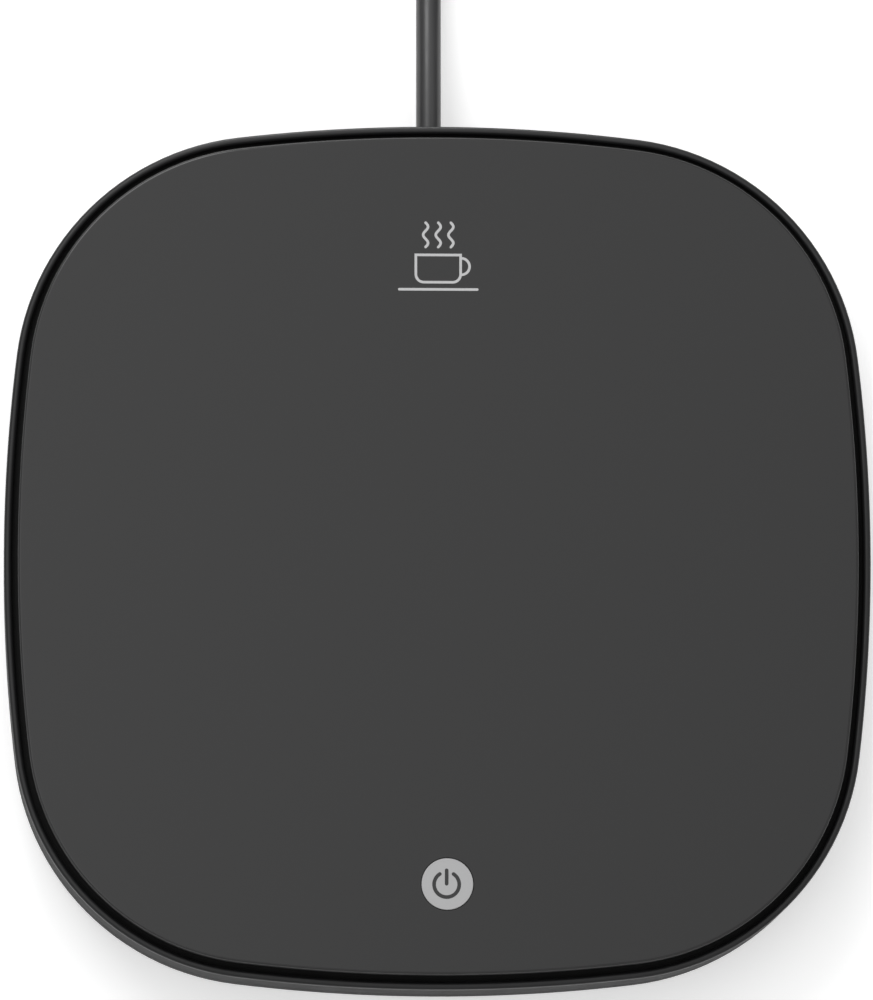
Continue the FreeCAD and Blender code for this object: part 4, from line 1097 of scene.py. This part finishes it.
@dataclass
class Lead:
    """The free lead: out of the back wall, down to the table, wound in a coil, and on to the plug."""

    EXIT_RUN = ((-0.9, 60.0, 8.0), (-0.9, 72.5, 8.0), (-0.7, 93.0, 2.35), (-0.4, 112.0, 2.35))
    END_RUN = ((-3.2, 21.0), (-12.2, 29.8), (-25.0, 29.2), (-33.2, 20.0), (-33.2, 8.6))
    END_LEVELS = (4.25, 2.55, 4.05, 4.05)

    radius: float = 1.75 * MM
    turns: int = 9
    coil_radius: float = 27.9 * MM
    pitch: float = 4.05 * MM
    per_turn: int = 12
    half_climb: float = 0.25
    near: float = 1e-4
    stub: float = 3.5 * MM
    end_stub: float = 9.0 * MM
    end_drop: float = 1.6 * MM

    def coil_point(self, turn: float) -> Vector:
        """Finds a point of the coil's middle line.

        Args:
            turn: its turns from the coil's start.

        Returns:
            The point, from the coil's own centre.
        """
        from_middle = turn - self.turns / 2
        steps_in = self.turns / 2 - abs(from_middle)
        if abs(from_middle) < self.half_climb:
            steps_in = self.turns / 2 - self.half_climb / 2 - from_middle**2 / (2 * self.half_climb)
        share = min(max(from_middle / (2 * self.half_climb) + 0.5, 0.0), 1.0)
        radius = self.coil_radius - self.pitch * steps_in
        angle = pi - tau * turn
        return Vector((radius * cos(angle), radius * sin(angle), self.pitch * share**2 * (3 - 2 * share)))

    def heading(self, turn: float) -> Vector:
        """The coil's direction at a turn."""
        return (self.coil_point(turn + self.near) - self.coil_point(turn - self.near)).normalized()

    def route(self) -> list[Vector]:
        """The spline's points: those of the lead, the coil's turns and those of its end."""
        lead = [Vector([length * MM for length in point]) for point in self.EXIT_RUN]
        ahead = (lead[-1] - lead[-2]).normalized()
        turn_to = self.heading(self.near).rotation_difference(ahead).to_matrix()
        origin = lead[-1] + ahead * self.stub - turn_to @ self.coil_point(0.0)
        outside = 1 / cos(pi / self.per_turn)
        widen = Matrix.Diagonal((outside, outside, 1.0))
        coil = [origin + turn_to @ widen @ self.coil_point((n + 0.5) / self.per_turn)
                for n in range(self.turns * self.per_turn)]
        leave = turn_to @ self.heading(self.turns - self.near)
        start = origin + turn_to @ self.coil_point(self.turns) + leave * self.stub
        levels = (start.z - self.end_drop, *(level * MM for level in self.END_LEVELS))
        end = [Vector((start.x + x * MM, start.y + y * MM, z)) for (x, y), z in zip(self.END_RUN, levels)]
        return [*lead, *coil, start + leave * self.end_stub, *end]

    def build(self, plug: list[Thing]) -> None:
        """Builds the lead as one spline with a round section.

        Args:
            plug: the pieces that go with it; not used.
        """
        points = self.route()
        curve = bpy.data.curves.new("lead", "CURVE")
        curve.dimensions = "3D"
        curve.bevel_depth = self.radius
        curve.bevel_resolution = 5
        curve.resolution_u = 5
        curve.use_fill_caps = True
        spline = curve.splines.new("NURBS")
        spline.points.add(len(points) - 1)
        for knot, point in zip(spline.points, points):
            knot.co = (*point, 1.0)
        spline.order_u = 3
        spline.use_endpoint_u = True
        lead = dress(linked("lead", curve), "cord_jacket", nodes=["cord_lead", "cord_coil", "cord_end"])


@dataclass
class PlugEnd:
    """The low-voltage plug: overmould with strain relief, shell, insert and contacts, and the coil's tie."""

    CORNER_STEPS = 6

    repeat: Repeat
    overmould_length: float = 20.0 * MM
    corner: float = 1.6 * MM
    edge: float = 0.7 * MM
    ribs: int = 5
    rib: float = 0.9 * MM
    first_rib: float = 4.5 * MM
    rib_slope: float = 0.2 * MM
    rib_depth: float = 0.05
    relief_length: float = 8.0 * MM
    relief_rings: int = 4
    relief_radius: float = 2.9 * MM
    relief_taper: float = 0.6 * MM
    relief_tail: float = 1.9 * MM
    relief_lap: float = 0.5 * MM
    relief_groove: float = 0.28 * MM
    relief_steps: tuple[float, float, float, float] = (0.2 * MM, 1.3 * MM, 1.45 * MM, 1.95 * MM)
    shell_wall: float = 0.35 * MM
    shell_rounds: Pair = (0.5 * MM, 0.3 * MM)
    shell_edge: float = 0.1 * MM
    window_half: float = 1.1 * MM
    window_place: Pair = (3.0 * MM, -0.8 * MM)
    insert_round: float = 0.2 * MM
    insert_edge: float = 0.25 * MM
    contact_count: int = 4
    contact_edge: float = 0.4
    tie_wall: float = 0.5 * MM
    tie_edge: float = 0.2 * MM
    tie_squash: float = 0.3 * MM

    def build(self) -> list[Thing]:
        """Builds the pieces that go with the lead."""
        return [self.overmould(), self.shell(), self.insert(), self.contacts(), self.tie()]

    def block(self, node: str, rows: Sequence[Triple], ring: bool = False) -> Skin:
        """Skins rounded rectangles that stand across the plug.

        Args:
            node: the node whose middle, width and height they have.
            rows: for each, its place along the plug, what its width and height lose, and its corners' radius.
            ring: whether the last joins the first.

        Returns:
            The skin.
        """
        low, high, middle = node_box(node)
        steps = self.CORNER_STEPS
        ways = [Vector((cos(angle), 0, sin(angle))) for angle in angles(0.0, tau, 4 * steps)]
        corners = [(x, z, way) for n, (x, z) in enumerate(((1, 1), (-1, 1), (-1, -1), (1, -1)))
                   for way in ways[n * steps:(n + 1) * steps + 1]]
        loops = []
        for y, less, corner in rows:
            across, up = (high.x - low.x - less) / 2 - corner, (high.z - low.z - less) / 2 - corner
            loops.append([Vector((middle.x + x * across, y, middle.z + z * up)) + way * corner
                          for x, z, way in corners])
        return Skin().loft(loops, ring)

    def overmould(self) -> Thing:
        """The body: a rounded block with grip ribs and a ribbed neck round the lead."""
        low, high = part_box("plug_body")
        height, front, neck = high.z - low.z, low.y, low.y + self.overmould_length
        edge, rib, slope, dent = self.edge, self.rib, self.rib_slope, self.rib_depth * height
        rows = [(front, 2 * edge), (front + 0.25 * edge, 0.9 * edge), (front + edge, 0)]
        for n in range(self.ribs):
            place = front + self.first_rib + 2 * n * rib
            rows += [(place, 0), (place + slope, dent), (place + rib - slope, dent), (place + rib, 0)]
        rows += [(neck - edge, 0), (neck - 0.25 * edge, 0.9 * edge), (neck, 2 * edge)]
        skin = self.block("plug_body", [(y, less, self.corner * (1 - less / height)) for y, less in rows])
        relief = [(self.relief_radius, neck - self.relief_lap)]
        for n in range(self.relief_rings):
            at = neck + self.relief_length * n / self.relief_rings
            bulge = self.relief_radius - self.relief_taper * n / self.relief_rings
            waist = bulge - self.relief_groove
            relief += [(out, at + step) for out, step in zip((bulge, bulge, waist, waist), self.relief_steps)]
        relief += [(self.relief_tail, neck + self.relief_length)]
        skin.turned(relief, back_axis("plug_body"), Axis.BACK, 64)
        return dress(skin.object("plug_overmould", 35), "cord_jacket", nodes=["plug_body"])

    def shell(self) -> Thing:
        """The plated shell with its two latch windows."""
        low, high, middle = node_box("plug_shell")
        (outer, inner), wall, edge, half = self.shell_rounds, self.shell_wall, self.shell_edge, self.window_half
        rows = [(high.y, 0, outer), (low.y + edge, 0, outer), (low.y, edge, outer), (low.y, 2 * wall, inner),
                (high.y, 2 * wall, inner)]
        across, back = self.window_place
        windows = []
        for side in (-1, 1):
            spot = Vector((middle.x + side * across, middle.y + back, high.z))
            windows.append(bar_cutter((half, half, -wall * 1.5), (half, half, wall), middle=spot))
        sleeve = carved(self.block("plug_shell", rows, ring=True).object("plug_shell_sleeve"), windows)
        return dress(sleeve, "nickel_shell", nodes=["plug_shell"])

    def insert(self) -> Thing:
        """The white insert that carries the contacts."""
        low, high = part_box("plug_insert")
        edge, corner = self.insert_edge, self.insert_round
        skin = self.block("plug_insert", [(high.y, 0, corner), (low.y + edge, 0, corner), (low.y, edge, corner)])
        return dress(skin.object("plug_insert_block"), "plug_insert", nodes=["plug_insert"])

    def contacts(self) -> Thing:
        """Four gold contacts, set side by side."""
        low, high, middle = node_box("plug_contacts")
        insert_low, insert_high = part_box("plug_insert")
        count = self.contact_count
        pitch = (insert_high.x - insert_low.x) / count
        across, back, height = pitch / 4, (high.y - low.y) / 2, high.z - low.z
        edge = height * self.contact_edge
        strips = Skin().loft([rectangle(across, back), rectangle(across, back, height - edge),
                              rectangle(across - edge, back - edge, height)]).object("contact_strips")
        middle.z = low.z
        self.repeat.on(strips, (pitch * (count - 1), 0.0), (count, 1), middle, "gold_contacts")
        return dress(strips, "gold_contacts", nodes=["plug_contacts"])

    def tie(self) -> Thing:
        """The strap round the coil, a closed band with soft edges."""
        low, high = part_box("coil_tie")
        edge, wall, corner = self.tie_edge, 2 * self.tie_wall, (high.z - low.z) / 2 - self.tie_squash
        rows = ((low.y, 2 * edge), (low.y + edge, 0), (high.y - edge, 0), (high.y, 2 * edge), (high.y, wall),
                (low.y, wall))
        skin = self.block("coil_tie", [(y, less, corner - less / 2) for y, less in rows], ring=True)
        return dress(skin.object("coil_strap", 50), "tie_strap", nodes=["coil_tie"])


@dataclass
class Grommet:
    """The flush rubber grommet that the lead leaves through."""

    radius: float = 3.3 * MM
    bore: float = 1.8 * MM
    flange: float = 4.3 * MM
    flange_length: float = 1.2 * MM
    edge: float = 0.35 * MM

    def build(self) -> None:
        """Turns the grommet about the lead's axis."""
        low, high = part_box("cord_grommet")
        outer, bore, step = self.radius, self.bore, low.y + self.flange_length
        profile = eased((bore, low.y), (self.flange, low.y), (self.flange, step), (outer, step),
                        (outer, high.y, self.edge, 4), (bore, high.y, self.edge, 4))
        skin = Skin().turned(profile, back_axis("cord_grommet"), Axis.BACK, 64, ring=True)
        dress(skin.object("grommet"), "rubber", nodes=["cord_grommet"])


@dataclass
class Studio:
    """Floor, soft light and the camera, which looks down from a little to the front and left."""

    aim: Vector
    distance: float = 1.5
    lean_front: float = radians(6.1)
    lean_left: float = radians(2.3)
    lens: float = 391.2
    floor_half: float = 1.6
    floor_glow: float = 0.33
    key_place: Triple = (-0.4, 0.75, 1.05)
    back_place: Triple = (-0.1, 1.3, 0.28)
    bright_side: Triple = (-0.9, 0.43, 0.0)
    side_reach: Pair = (-0.3, 0.3)
    side_share: Pair = (0.4, 1.6)
    top_reach: Pair = (0.4, 0.95)
    top_light: Pair = (0.35, 1.2)
    overhead_reach: Pair = (0.86, 0.97)
    backdrop: float = 0.95

    def build(self) -> None:
        """Builds the floor, lights and camera."""
        self.floor()
        self.light("key_light", Vector(self.key_place), side=0.6, power=5.0)
        self.light("back_light", Vector(self.back_place), side=0.5, power=8.0)
        self.world()
        self.camera()

    def floor(self) -> None:
        """The plain white table."""
        skin = Skin()
        skin.mesh.faces.new([skin.mesh.verts.new(corner) for corner in rectangle(self.floor_half, self.floor_half)])
        floor = skin.object("floor")
        shader = Shader("floor_paint")
        shader.colour(shader.noise(6.0), (0.88, 0.88, 0.88), (0.9, 0.9, 0.9))
        shader.surface(Roughness=0.9, Specular_IOR_Level=0.1, Emission_Color=(1.0, 1.0, 1.0, 1.0),
                       Emission_Strength=self.floor_glow)
        floor.data.materials.append(shader.material)

    def light(self, name: str, place: Vector, side: float, power: float) -> None:
        """Sets a square soft light that faces the object.

        Args:
            name: the light's name.
            place: where it stands.
            side: its width.
            power: its power in watts.
        """
        data = bpy.data.lights.new(name, "AREA")
        data.size = side
        data.energy = power
        lamp = linked(name, data)
        lamp.location = place
        lamp.rotation_mode = "QUATERNION"
        lamp.rotation_quaternion = (place - self.aim).to_track_quat("Z", "Y")

    def world(self) -> None:
        """A light tent: bright overhead, most so to the back and left, and darker near the table."""
        world = bpy.data.worlds.new("surround")
        world.use_nodes = True
        tree = Nodes(world.node_tree)
        way = tree.add("ShaderNodeTexCoord").outputs["Generated"]
        lean = tree.add("ShaderNodeVectorMath", Vector=way)
        lean.operation = "DOT_PRODUCT"
        lean.inputs[1].default_value = self.bright_side
        height = tree.add("ShaderNodeSeparateXYZ", Vector=way).outputs["Z"]
        sides = tree.ramp(lean.outputs["Value"], self.side_reach, self.side_share, soft=True)
        tops = tree.ramp(height, self.top_reach, self.top_light, soft=True)
        overhead = tree.ramp(height, self.overhead_reach, (0.0, 1.0), soft=True)
        leaning = tree.add("ShaderNodeMix", Factor=overhead, A=1.0, B=sides).outputs["Result"]
        light = tree.joined(Maths.PRODUCT, leaning, tops)
        seen = tree.add("ShaderNodeLightPath").outputs["Is Camera Ray"]
        choice = tree.add("ShaderNodeMix", Factor=seen, A=light, B=self.backdrop).outputs["Result"]
        tree.feed(tree.nodes["Background"], Color=(1.0, 1.0, 1.0, 1.0), Strength=choice)
        bpy.context.scene.world = world

    def camera(self) -> None:
        """The long lens above the glass."""
        data = bpy.data.cameras.new("camera")
        data.lens = self.lens
        camera = linked("camera", data)
        away = Vector((-tan(self.lean_left), -tan(self.lean_front), 1.0)).normalized()
        across = Vector((0, 1, 0)).cross(away).normalized()
        turn = Matrix((across, away.cross(across), away)).transposed()
        camera.matrix_world = Matrix.Translation(self.aim + away * self.distance) @ turn.to_4x4()
        bpy.context.scene.camera = camera
        bpy.context.scene.view_settings.view_transform = "Standard"


def paint_nodes() -> None:
    """Gives every CAD node its slot's finish."""
    for part in frame["record"]["subparts"]:
        node = frame["nodes"][part["node"]]
        if not node.material_slots:
            node.data.materials.append(None)
        for place in node.material_slots:
            place.material = finish(part["material_slot"])


def main() -> None:
    """Builds every sub-assembly in order."""
    logging.basicConfig(level=logging.INFO, format="%(message)s")
    repeat = Repeat()
    glass_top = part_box("top_glass")[1].z
    Studio(aim=Vector((-0.34 * MM, 7.5 * MM, glass_top))).build()
    plug = PlugEnd(repeat).build()
    Lead().build(plug)
    paint_nodes()
    Housing(Outline()).build()
    PowerKey().build()
    HotMugSign(repeat).build()
    Underside(repeat).build()
    Grommet().build()


if __name__ == "__main__":
    main()
